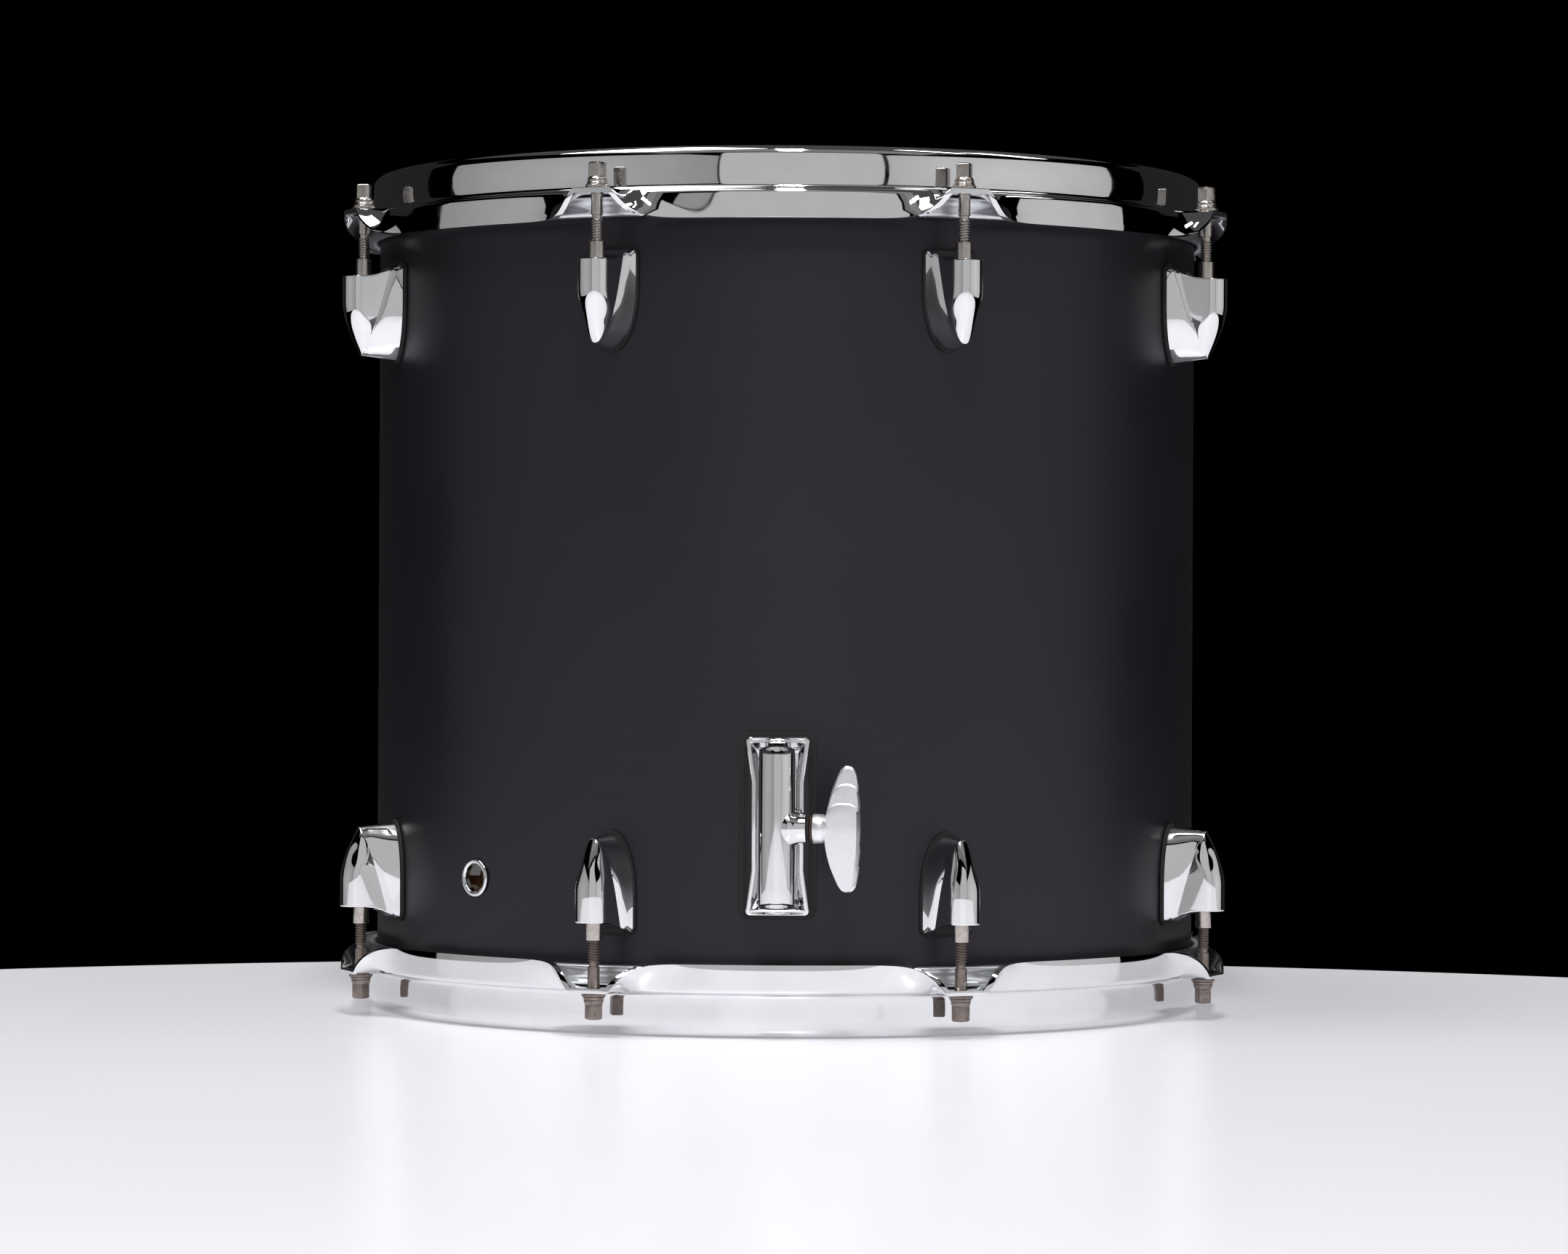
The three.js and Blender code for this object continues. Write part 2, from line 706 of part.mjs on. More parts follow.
function place(parent, name, geometry, material) {
  const mesh = new THREE.Mesh(geometry, material);
  mesh.name = name;
  parent.add(mesh);
  return mesh;
}

// A group at a station of the shell: +X out along the radius, +Y along the tangent
function station(parent, angle, height = 0) {
  const group = new THREE.Group();
  group.rotation.z = degrees(angle - 90);
  group.position.z = height;
  parent.add(group);
  return group;
}

place(model, "shell", geometryOf(makeShell()), finish.lacquer);
const ventSeat = station(model, ventAngle, ventRise - halfDepth);
place(ventSeat, "vent_grommet", geometryOf(makeVent()), finish.chrome);

const hoopGeometry = geometryOf(makeHoop());
const fleshHoopGeometry = geometryOf(makeFleshHoop());
const filmGeometry = geometryOf(makeFilm());
const lugGeometry = geometryOf(makeLug());
const rodGeometry = geometryOf(makeRod());

// One end of the drum: head, hoop, lugs and rods
function addEnd(name, direction, film) {
  const end = new THREE.Group();
  end.scale.z = direction;
  model.add(end);
  place(end, `${name}_hoop`, hoopGeometry, finish.chrome);
  place(end, `${name}_flesh_hoop`, fleshHoopGeometry, finish.aluminium);
  place(end, `${name}_head`, filmGeometry, film);
  for (let i = 0; i < lugCount; i++) {
    const seat = station(end, firstLugAngle + (i * 360) / lugCount);
    place(seat, `${name}_lug_${i + 1}`, lugGeometry, finish.chrome);
    const rod = place(seat, `${name}_rod_${i + 1}`, rodGeometry, finish.nickel);
    rod.position.x = rodCircleRadius;
  }
}

addEnd("batter", 1, finish.coatedFilm);
addEnd("resonant", -1, finish.clearFilm);

const bracketPieces = {
  leg_bracket: [geometryOf(makeBracket()), finish.chrome, 0],
  bracket_gasket: [geometryOf(makeBracketGasket()), finish.rubber, 0],
  clamp_shoe: [geometryOf(makeShoe()), finish.steel, legAxisRadius],
  wing_stud: [geometryOf(makeStud()), finish.steel, legAxisRadius],
  wing_washer: [geometryOf(makeRingWasher()), finish.rubber, legAxisRadius],
  wing_handle: [geometryOf(makeWing()), finish.silverPaint, legAxisRadius],
};

for (const [where, angle] of Object.entries(bracketAngles)) {
  const seat = station(model, angle, bracketRise - halfDepth);
  for (const [name, [geometry, material, reach]] of Object.entries(bracketPieces)) {
    place(seat, `${name}_${where}`, geometry, material).position.x = reach;
  }
}

export default model;
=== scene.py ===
"""Floor tom: a black drum shell with chromed hoops, lugs and leg brackets, on a white table."""

import math

import bpy
from mathutils import Matrix, Vector


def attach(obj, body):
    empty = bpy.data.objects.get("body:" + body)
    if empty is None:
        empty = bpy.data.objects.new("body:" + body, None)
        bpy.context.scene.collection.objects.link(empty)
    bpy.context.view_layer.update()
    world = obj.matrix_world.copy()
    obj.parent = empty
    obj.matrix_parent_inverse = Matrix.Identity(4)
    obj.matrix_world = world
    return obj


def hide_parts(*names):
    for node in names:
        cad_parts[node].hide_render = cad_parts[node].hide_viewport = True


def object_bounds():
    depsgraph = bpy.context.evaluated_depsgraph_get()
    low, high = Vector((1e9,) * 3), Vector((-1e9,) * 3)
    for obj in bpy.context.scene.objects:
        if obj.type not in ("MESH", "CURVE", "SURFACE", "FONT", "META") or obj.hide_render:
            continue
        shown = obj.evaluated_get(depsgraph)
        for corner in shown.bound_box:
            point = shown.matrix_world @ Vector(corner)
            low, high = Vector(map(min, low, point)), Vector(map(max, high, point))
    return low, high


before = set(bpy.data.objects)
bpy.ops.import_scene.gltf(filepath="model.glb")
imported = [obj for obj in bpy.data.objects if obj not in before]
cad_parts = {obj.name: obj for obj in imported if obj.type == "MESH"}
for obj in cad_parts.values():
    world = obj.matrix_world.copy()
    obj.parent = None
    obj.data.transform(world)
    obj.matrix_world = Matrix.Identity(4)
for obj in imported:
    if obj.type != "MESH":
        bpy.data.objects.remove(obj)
cad_low, cad_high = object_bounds()


# Shell: a cylinder of thin wood plies, lacquered satin black outside and left bare inside.
# The section of its wall is drawn with a 45 degree bearing edge at each end and spun round the
# drum's axis, and the air vent and every screw get their hole.
def select_only(*pieces):
    """Selects these pieces and nothing else, and makes the first one active."""
    bpy.ops.object.select_all(action="DESELECT")
    for piece in pieces:
        piece.select_set(True)
    if pieces:
        bpy.context.view_layer.objects.active = pieces[0]


def close_up(merge=0.000001, fill=False):
    """Merges the doubled points of the piece in edit mode, fills its open ends if asked, turns its
    faces outwards and leaves edit mode."""
    bpy.ops.mesh.select_all(action="SELECT")
    bpy.ops.mesh.remove_doubles(threshold=merge)
    bpy.ops.mesh.dissolve_degenerate(threshold=0.000001)
    bpy.ops.mesh.select_all(action="SELECT")
    if fill:
        bpy.ops.mesh.fill_holes(sides=0)
        bpy.ops.mesh.select_all(action="SELECT")
    bpy.ops.mesh.normals_make_consistent(inside=False)
    bpy.ops.object.mode_set(mode="OBJECT")


def turned(name, profile, steps):
    """Draws a profile of (radius, height) in millimetres and spins it round the Z axis."""
    select_only()
    bpy.ops.mesh.primitive_plane_add(size=0.001)
    piece = bpy.context.object
    piece.name = name
    bpy.ops.object.mode_set(mode="EDIT")
    bpy.ops.mesh.select_mode(type="VERT")
    bpy.ops.mesh.merge(type="CENTER")
    bpy.ops.transform.translate(value=(profile[0][0] / 1000, 0, profile[0][1] / 1000))
    for (radius, height), (next_radius, next_height) in zip(profile, profile[1:]):
        step = ((next_radius - radius) / 1000, 0, (next_height - height) / 1000)
        bpy.ops.mesh.extrude_vertices_move(TRANSFORM_OT_translate={"value": step})
    bpy.ops.mesh.select_all(action="SELECT")
    bpy.ops.mesh.spin(steps=steps, angle=math.tau, center=(0, 0, 0), axis=(0, 0, 1))
    close_up()
    return piece


def modify(piece, kind, **settings):
    """Adds a modifier to a piece and applies it."""
    select_only(piece)
    modifier = piece.modifiers.new(kind.title(), kind)
    for setting, value in settings.items():
        setattr(modifier, setting, value)
    bpy.ops.object.modifier_apply(modifier=modifier.name)


def smooth(piece, degrees=30):
    """Shades a piece smooth and keeps the edges sharper than an angle."""
    select_only(piece)
    bpy.ops.object.shade_smooth_by_angle(angle=math.radians(degrees))


def outwards(radius, angle, height):
    """The matrix that lays +Z along a radius of the drum, at a station and height in millimetres."""
    out = Vector((math.sin(math.radians(angle)), -math.cos(math.radians(angle)), 0))
    turn = out.to_track_quat("Z", "Y").to_matrix().to_4x4()
    place = out * (radius / 1000) + Vector((0, 0, height / 1000))
    return Matrix.Translation(place) @ turn


def combine(piece, other, operation):
    """Joins another closed piece to a piece, or cuts it out of it, and removes the other piece. The
    empty material slot that this leaves is cleared, so that a material added later takes hold."""
    modify(piece, "BOOLEAN", object=other, operation=operation, solver="MANIFOLD")
    piece.data.materials.clear()
    bpy.data.objects.remove(other)


def drilled(piece, holes, sides=48):
    """Cuts round holes of (matrix, radius, length) in a piece, each along the Z of its matrix."""
    select_only()
    drills = []
    for matrix, radius, length in holes:
        bpy.ops.mesh.primitive_cylinder_add(
            vertices=sides, radius=radius / 1000, depth=length / 1000
        )
        drills.append(bpy.context.object)
        drills[-1].data.transform(matrix)
    select_only(*drills)
    if len(drills) > 1:
        bpy.ops.object.join()
    combine(piece, drills[0], "DIFFERENCE")


def colour(hex_value):
    """An sRGB hex colour as linear red, green, blue and alpha."""
    parts = [int(hex_value[i : i + 2], 16) / 255 for i in (0, 2, 4)]
    return (*[p / 12.92 if p <= 0.04045 else ((p + 0.055) / 1.055) ** 2.4 for p in parts], 1)


def set_inputs(node, inputs):
    """Sets the inputs of a node: a value that is a socket is linked, any other is set."""
    for socket, value in inputs.items():
        if isinstance(value, bpy.types.NodeSocket):
            node.id_data.links.new(value, node.inputs[socket])
        else:
            node.inputs[socket].default_value = value


def add_node(tree, kind, inputs=None, **settings):
    """Adds a node with its settings and inputs."""
    node = tree.nodes.new("ShaderNode" + kind)
    for setting, value in settings.items():
        setattr(node, setting, value)
    set_inputs(node, inputs or {})
    return node


def new_material(name):
    """A new material with its node tree, its shader and the Object coordinates for its patterns."""
    material = bpy.data.materials.new(name)
    material.use_nodes = True
    tree = material.node_tree
    place = add_node(tree, "TexCoord").outputs["Object"]
    return material, tree, tree.nodes["Principled BSDF"], place


SHELL_RADIUS = 201.5
INSIDE_RADIUS = 195
WALL_MIDDLE = 198
LUG_SPACING = 45
LUG_ANGLES = [LUG_SPACING * (i + 0.5) for i in range(8)]
BRACKET_ANGLES = {"front": 0, "rear_right": 135, "rear_left": -135}
BRACKET_HEIGHT = -106.75
VENT_ANGLE, VENT_HEIGHT = -45, -134.35
LUG_SCREW_HEIGHT = 135.1
BRACKET_SCREW_OFFSET = 29

VENT_HOLE, LUG_SCREW_HOLE, BRACKET_SCREW_HOLE = 7.9, 2.4, 2.9
DRILL_LENGTH = 20

# Heights of the rows of points on the outside. One lies close above and one close below each hole,
# so that the faces between the holes shade evenly.
WALL_ROWS = [-188.9, -160, -147, -142.6, -139, -131, -126.1, -121, -85, -73, -50, 0, 50, 120, 131]
WALL_ROWS += [139, 150, 188.9]

shell = turned(
    "drum_shell",
    [
        *[(SHELL_RADIUS, height) for height in WALL_ROWS], (201.1, 189.8), (200.4, 190.4),
        (199.7, 190.5), (199.2, 190.2), (INSIDE_RADIUS, 186), (INSIDE_RADIUS, -186), (199.2, -190.2),
        (199.7, -190.5), (200.4, -190.4), (201.1, -189.8), (SHELL_RADIUS, WALL_ROWS[0]),
    ],
    320,
)
holes = [(outwards(WALL_MIDDLE, VENT_ANGLE, VENT_HEIGHT), VENT_HOLE, DRILL_LENGTH)]
for angle in LUG_ANGLES:
    for height in (LUG_SCREW_HEIGHT, -LUG_SCREW_HEIGHT):
        holes.append((outwards(WALL_MIDDLE, angle, height), LUG_SCREW_HOLE, DRILL_LENGTH))
for angle in BRACKET_ANGLES.values():
    for offset in (BRACKET_SCREW_OFFSET, -BRACKET_SCREW_OFFSET):
        place = outwards(WALL_MIDDLE, angle, BRACKET_HEIGHT + offset)
        holes.append((place, BRACKET_SCREW_HOLE, DRILL_LENGTH))
drilled(shell, holes)
smooth(shell)

# Satin black lacquer: near-black, with the wood's grain faintly telegraphed through as hairline
# streaks round the shell, 0.8 mm high and tens of millimetres long, and a few dull scuffs.
lacquer, tree, shader, place = new_material("satin_black_lacquer_on_wood")
grain_place = add_node(tree, "Mapping", {"Vector": place, "Scale": (22, 22, 1250)})
grain = add_node(
    tree, "TexNoise", {"Vector": grain_place.outputs[0], "Scale": 1, "Detail": 4, "Roughness": 0.6}
)
cloud = add_node(tree, "TexNoise", {"Vector": place, "Scale": 9, "Detail": 2})
scuff_place = add_node(tree, "Mapping", {"Vector": place, "Scale": (160, 160, 60)})
scuff = add_node(
    tree, "TexNoise", {"Vector": scuff_place.outputs[0], "Scale": 1, "Detail": 6, "Roughness": 0.7}
)
scuff_area = add_node(tree, "TexNoise", {"Vector": place, "Scale": 11, "Detail": 1})
scuffed = add_node(
    tree, "MapRange", {"Value": scuff.outputs[0], "From Min": 0.66, "From Max": 0.78, "To Max": 1}
)
scuff_where = add_node(
    tree, "MapRange", {"Value": scuff_area.outputs[0], "From Min": 0.58, "From Max": 0.7, "To Max": 1}
)
scuff_mask = add_node(
    tree, "Math", {0: scuffed.outputs[0], 1: scuff_where.outputs[0]}, operation="MULTIPLY"
)
tone = add_node(
    tree,
    "Mix",
    {"Factor": grain.outputs[0], "A": colour("09070B"), "B": colour("120E15")},
    data_type="RGBA",
)
worn = add_node(
    tree,
    "Mix",
    {"Factor": scuff_mask.outputs[0], "A": tone.outputs["Result"], "B": colour("2B292E")},
    data_type="RGBA",
)
sheen = add_node(
    tree,
    "MapRange",
    {"Value": cloud.outputs[0], "From Min": 0.3, "From Max": 0.7, "To Min": 0.37, "To Max": 0.45},
)
relief = add_node(tree, "Bump", {"Height": grain.outputs[0], "Strength": 0.12, "Distance": 0.00004})
set_inputs(shader, {
    "Base Color": worn.outputs["Result"], "Roughness": sheen.outputs[0], "Normal": relief.outputs[0],
    "IOR": 1.47, "Specular Tint": colour("FAF2FF"),
})

# Bare wood inside: warm brown plies, their grain running round the shell.
bare_wood, tree, shader, place = new_material("bare_wood_plies")
ply_place = add_node(tree, "Mapping", {"Vector": place, "Scale": (14, 14, 420)})
ply = add_node(
    tree, "TexNoise", {"Vector": ply_place.outputs[0], "Scale": 1, "Detail": 5, "Distortion": 0.4}
)
plies = add_node(tree, "ValToRGB", {"Fac": ply.outputs[0]})
plies.color_ramp.elements[0].position = 0.3
plies.color_ramp.elements[0].color = colour("96603A")
plies.color_ramp.elements[1].position = 0.7
plies.color_ramp.elements[1].color = colour("D29C6A")
relief = add_node(tree, "Bump", {"Height": ply.outputs[0], "Strength": 0.3, "Distance": 0.0001})
set_inputs(
    shader, {"Base Color": plies.outputs[0], "Normal": relief.outputs[0], "Roughness": 0.6}
)

# The lacquer goes over the outside and ends where the bearing edges start to round off.
LACQUER_RADIUS, LACQUER_END = 0.2009, 0.1895
shell.data.materials.append(lacquer)
shell.data.materials.append(bare_wood)
for face in shell.data.polygons:
    radius = math.hypot(face.center.x, face.center.y)
    outside = radius > LACQUER_RADIUS and abs(face.center.z) < LACQUER_END
    face.material_index = 0 if outside else 1
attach(shell, "drum")
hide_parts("shell")


# Air vent: a brass eyelet plated with chrome, whose tube goes through the shell and is rolled
# over outside and flared inside. It is spun about its own axis and then laid along the radius.
def chrome_plating(name, light, dark, smudge):
    """Mirror-bright plate: a steel-grey metal, almost free of haze, with faint smudges and ripple."""
    material, tree, shader, place = new_material(name)
    haze = add_node(tree, "TexNoise", {"Vector": place, "Scale": 70, "Detail": 3})
    tone = add_node(
        tree, "Mix", {"Factor": haze.outputs[0], "A": colour(dark), "B": colour(light)}, data_type="RGBA"
    )
    dull = add_node(
        tree,
        "MapRange",
        {"Value": haze.outputs[0], "From Min": 0.35, "From Max": 0.75, "To Min": 0.02, "To Max": smudge},
    )
    ripple = add_node(tree, "TexNoise", {"Vector": place, "Scale": 110, "Detail": 1})
    relief = add_node(tree, "Bump", {"Height": ripple.outputs[0], "Strength": 0.1, "Distance": 0.00003})
    set_inputs(shader, {
        "Base Color": tone.outputs["Result"], "Roughness": dull.outputs[0],
        "Normal": relief.outputs[0], "Metallic": 1,
    })
    return material


chrome = chrome_plating("chrome_plated_steel", "E2E2E3", "D3D4D6", 0.07)
vent = turned(
    "vent_eyelet",
    [
        (6.6, -4.6), (7.1, -5.6), (8.2, -6), (8.9, -5.7), (8.9, -5.2), (8.2, -4.9), (7.6, -4.4),
        (7.6, 3.7), (8.7, 3.8), (9, 4.1), (8.9, 4.5), (8.4, 4.8), (7.8, 4.9), (7.2, 4.8),
        (6.8, 4.5), (6.6, 4.1), (6.6, -4.6),
    ],
    72,
)
vent.data.transform(outwards(WALL_MIDDLE, VENT_ANGLE, VENT_HEIGHT))
smooth(vent, 60)
vent.data.materials.append(chrome)
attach(vent, "drum")
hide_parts("vent_grommet")


# Heads: a disc of polyester film at each end, drawn over the bearing edge and crimped in its own
# hoop. The upper one is sprayed with a white coating, and the lower one is clear.
def copied(source, name, matrix):
    """A copy of a piece with its own mesh, moved by a matrix, which may mirror it."""
    piece = bpy.data.objects.new(name, source.data.copy())
    bpy.context.scene.collection.objects.link(piece)
    piece.data.transform(matrix)
    if matrix.is_negative:
        piece.data.flip_normals()
    return piece


ENDS = {"batter": Matrix.Identity(4), "resonant": Matrix.Scale(-1, 4, (0, 0, 1))}

# Sprayed coating: matt white specks about 0.5 mm across on milky film, which ends in a bare,
# slightly glossier ring 9 mm short of the bearing edge.
coated_film, tree, shader, place = new_material("coated_polyester_film")
flat_place = add_node(tree, "Mapping", {"Vector": place, "Scale": (1, 1, 0)})
from_axis = add_node(tree, "VectorMath", {0: flat_place.outputs[0]}, operation="LENGTH")
coating = add_node(
    tree,
    "MapRange",
    {"Value": from_axis.outputs["Value"], "From Min": 0.1895, "From Max": 0.191, "To Min": 1, "To Max": 0},
)
specks = add_node(tree, "TexNoise", {"Vector": place, "Scale": 2000, "Detail": 2})
patch = add_node(tree, "TexNoise", {"Vector": place, "Scale": 14, "Detail": 3})
sprayed = add_node(
    tree,
    "Mix",
    {"Factor": patch.outputs[0], "A": colour("DAD8D1"), "B": colour("EDEBE5")},
    data_type="RGBA",
)
film_tone = add_node(
    tree,
    "Mix",
    {"Factor": coating.outputs[0], "A": colour("C9C8C2"), "B": sprayed.outputs["Result"]},
    data_type="RGBA",
)
matt = add_node(tree, "MapRange", {"Value": coating.outputs[0], "To Min": 0.25, "To Max": 0.72})
rough = add_node(tree, "Math", {0: specks.outputs[0], 1: coating.outputs[0]}, operation="MULTIPLY")
relief = add_node(tree, "Bump", {"Height": rough.outputs[0], "Strength": 0.4, "Distance": 0.00006})
set_inputs(shader, {
    "Base Color": film_tone.outputs["Result"], "Roughness": matt.outputs[0],
    "Normal": relief.outputs[0], "Transmission Weight": 0.35, "IOR": 1.3,
})

# Clear film: thin and glossy, seen mostly by its reflections, with a faint haze.
clear_film, tree, shader, place = new_material("clear_polyester_film")
haze = add_node(tree, "TexNoise", {"Vector": place, "Scale": 30, "Detail": 2})
film_haze = add_node(tree, "MapRange", {"Value": haze.outputs[0], "To Min": 0.03, "To Max": 0.12})
set_inputs(shader, {
    "Base Color": colour("CDD2D6"), "Roughness": film_haze.outputs[0], "Alpha": 0.3, "IOR": 1.6,
})

FILM_TOP, FILM_UNDERSIDE = 191.2, 190.8
head = turned(
    "drum_head",
    [
        *[(radius, FILM_TOP) for radius in (0, 60, 130, 180, 196, 200.2)], (201.3, 190.9),
        (201.95, 190.2), (202.2, 189.2), (202.2, 174.6), (201.8, 174.6), (201.8, 189.1),
        (201.55, 190), (201.1, 190.6), (200.1, 190.85),
        *[(radius, FILM_UNDERSIDE) for radius in (196, 130, 0)],
    ],
    256,
)
smooth(head, 40)
for end, material, slot in (
    ("batter", coated_film, "coated_film"),
    ("resonant", clear_film, "clear_film"),
):
    film = copied(head, f"{end}_drum_head", ENDS[end])
    film.data.materials.append(material)
    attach(film, f"{end}_hoop_and_head")
    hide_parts(f"{end}_head")
bpy.data.objects.remove(head)


# Flesh hoops: the aluminium channel that grips the film's edge, seen bright under each ear of
# the counter hoop. Its rolled section is spun round the drum.
flesh_hoop = turned(
    "flesh_hoop",
    [
        (202.5, 172.3), (203.3, 171.45), (208.1, 171.45), (209, 172.4), (209, 174.3), (208.5, 175),
        (208.5, 177.4), (209, 178.1), (209, 180), (208.1, 180.85), (203.4, 180.85), (202.5, 180),
        (202.5, 172.3),
    ],
    256,
)
smooth(flesh_hoop, 50)

# Rolled aluminium: pale grey metal with drawing lines 0.3 mm apart along the hoop.
rolled_aluminium, tree, shader, place = new_material("rolled_aluminium")
line_place = add_node(tree, "Mapping", {"Vector": place, "Scale": (12, 12, 3300)})
lines = add_node(tree, "TexNoise", {"Vector": line_place.outputs[0], "Scale": 1, "Detail": 3})
tone = add_node(
    tree,
    "Mix",
    {"Factor": lines.outputs[0], "A": colour("CFD1D5"), "B": colour("DEDFE2")},
    data_type="RGBA",
)
dull = add_node(tree, "MapRange", {"Value": lines.outputs[0], "To Min": 0.32, "To Max": 0.4})
set_inputs(
    shader, {"Base Color": tone.outputs["Result"], "Roughness": dull.outputs[0], "Metallic": 1}
)
flesh_hoop.data.materials.append(rolled_aluminium)


def put_at_ends(hoop, name, node):
    """Copies a hoop to both ends of the drum and removes the one that was copied."""
    for end, matrix in ENDS.items():
        piece = copied(hoop, f"{end}_{name}", matrix)
        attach(piece, f"{end}_hoop_and_head")
        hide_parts(f"{end}_{node}")
    bpy.data.objects.remove(hoop)


put_at_ends(flesh_hoop, "aluminium_hoop", "flesh_hoop")


# Counter hoops: 2.3 mm steel pressed with three bends, its rim turned inwards, chromed. The skirt
# hangs down between the rods and swings up into a flat ear at each rod. A sheet follows the
# outer face, is given its thickness inwards, gets soft edges and a hole in every ear.
def placed_sheet(name, rows, closed=False):
    """A grid whose vertices are laid on rows of points in millimetres, its doubled seams merged and
    its open ends filled if it is to be closed."""
    select_only()
    columns = len(rows[0])
    bpy.ops.mesh.primitive_grid_add(x_subdivisions=columns - 1, y_subdivisions=len(rows) - 1)
    piece = bpy.context.object
    piece.name = name
    flat = [value / 1000 for row in rows for point in row for value in point]
    piece.data.vertices.foreach_set("co", flat)
    bpy.ops.object.mode_set(mode="EDIT")
    close_up(0.000002, closed)
    return piece


ROD_CIRCLE = 218.8
EAR_TOP = 183.45
SHEET = 2.3
rim_and_wall = [
    (198, 201.2), (198.3, 202.3), (198.9, 203.2), (199.8, 203.8), (200.9, 203.95), (202, 203.8),
    (203.2, 203.3), (204.4, 202.4), (205.3, 201), (205.8, 199.3), (205.8, 194), (205.8, 190),
    (205.8, 186), (206, 185), (206.6, 184.1), (207.4, 183.6), (208.4, 183.45),
]
FLANGE_RADIUS = 212.4
SKIRT_LENGTH = 13.6
SKIRT_BEND = 2.5
EAR_HALF_FLAT = 9.5
FOLD_SWEEP = 9.5
EAR_HOLE = 3.6
EAR_DRILL_LENGTH = 12
HOOP_STEPS = 96 * len(LUG_ANGLES)


def skirt_fold(arc):
    """How far the skirt hangs down at an arc length from the nearest rod: 0 is a flat ear."""
    return math.asin(math.tanh(max(0, arc - EAR_HALF_FLAT) / FOLD_SWEEP))


def hoop_section(fold):
    """The hoop's outer face as (radius, height) from inside the rim to the end of the skirt."""
    across, down = math.cos(fold), math.sin(fold)
    reach = SKIRT_BEND * math.tan(fold / 2) + 0.2
    section = list(rim_and_wall)
    for step in range(7):
        t = step / 6
        back, ahead = (1 - t) ** 2 * reach, t**2 * reach
        section.append((FLANGE_RADIUS - back + ahead * across, EAR_TOP - ahead * down))
    for share in (0.4, 0.7, 1):
        length = reach + (SKIRT_LENGTH - reach) * share
        section.append((FLANGE_RADIUS + length * across, EAR_TOP - length * down))
    return section


sections = []
for step in range(HOOP_STEPS + 1):
    turn = math.tau * step / HOOP_STEPS
    from_lug = math.degrees(turn) % LUG_SPACING - LUG_SPACING / 2
    fold = skirt_fold(abs(math.radians(from_lug)) * ROD_CIRCLE)
    sections.append([(r * math.sin(turn), -r * math.cos(turn), z) for r, z in hoop_section(fold)])
counter_hoop = placed_sheet("counter_hoop", sections)
upper_face = max(counter_hoop.data.polygons, key=lambda face: face.center.z)
if upper_face.normal.z < 0:
    counter_hoop.data.flip_normals()
modify(counter_hoop, "SOLIDIFY", thickness=SHEET / 1000, offset=-1, use_even_offset=True)
modify(
    counter_hoop, "BEVEL", width=0.0005, segments=3, limit_method="ANGLE", angle_limit=math.radians(65)
)
ear_holes = []
for angle in LUG_ANGLES:
    place = Matrix.Translation(outwards(ROD_CIRCLE, angle, EAR_TOP).translation)
    ear_holes.append((place, EAR_HOLE, EAR_DRILL_LENGTH))
drilled(counter_hoop, ear_holes)
smooth(counter_hoop, 35)
counter_hoop.data.materials.append(chrome)
put_at_ends(counter_hoop, "counter_hoop", "hoop")


# Tension rods: steel screws with a square head for the drum key, a domed collar and a loose
# washer, nickel plated. The shank is smooth under the ear and threaded below, where a screw
# modifier runs a small ridge along it.
def nickel_plating(name, light, dark, smoothest, dullest, pits):
    """Satin metal with a warm cast; dull blotches 2 mm wide and pits 0.4 mm wide where it has aged."""
    material, tree, shader, place = new_material(name)
    blotch = add_node(tree, "TexNoise", {"Vector": place, "Scale": 450, "Detail": 4, "Roughness": 0.65})
    tone = add_node(
        tree, "Mix", {"Factor": blotch.outputs[0], "A": colour(dark), "B": colour(light)}, data_type="RGBA"
    )
    dull = add_node(
        tree,
        "MapRange",
        {
            "Value": blotch.outputs[0], "From Min": 0.3, "From Max": 0.7,
            "To Min": dullest, "To Max": smoothest,
        },
    )
    pit = add_node(tree, "TexNoise", {"Vector": place, "Scale": 2600, "Detail": 2})
    relief = add_node(tree, "Bump", {"Height": pit.outputs[0], "Strength": pits, "Distance": 0.00008})
    set_inputs(shader, {
        "Base Color": tone.outputs["Result"], "Roughness": dull.outputs[0],
        "Normal": relief.outputs[0], "Metallic": 1,
    })
    return material


bright_nickel = nickel_plating("nickel_plated_steel", "C9C4BF", "9C948E", 0.14, 0.3, 0.25)
# The rods and washers at the lower end get a darker and duller copy of the same plating.
darker_lower_end_nickel = nickel_plating("nickel_plated_steel_darker_and_duller", "A09690", "655B56", 0.3, 0.55, 0.8)

THREAD_PITCH = 1.24
THREAD_TOP = 171.2
THREAD_FOOT = 144.6
ROD_TIP = 143.6
rod = turned(
    "tension_rod",
    [
        (0, ROD_TIP), (1.8, ROD_TIP), (2.15, ROD_TIP + 0.6), (2.15, THREAD_TOP),
        (2.78, THREAD_TOP + 0.4), (2.78, 185.2), (4.7, 185.2), (4.95, 185.5), (4.9, 186),
        (4.6, 186.35), (4.45, 186.5), (4.6, 186.9), (4.5, 187.6), (4.15, 188.4), (3.65, 188.95),
        (3, 189.25), (0, 189.3),
    ],
    32,
)

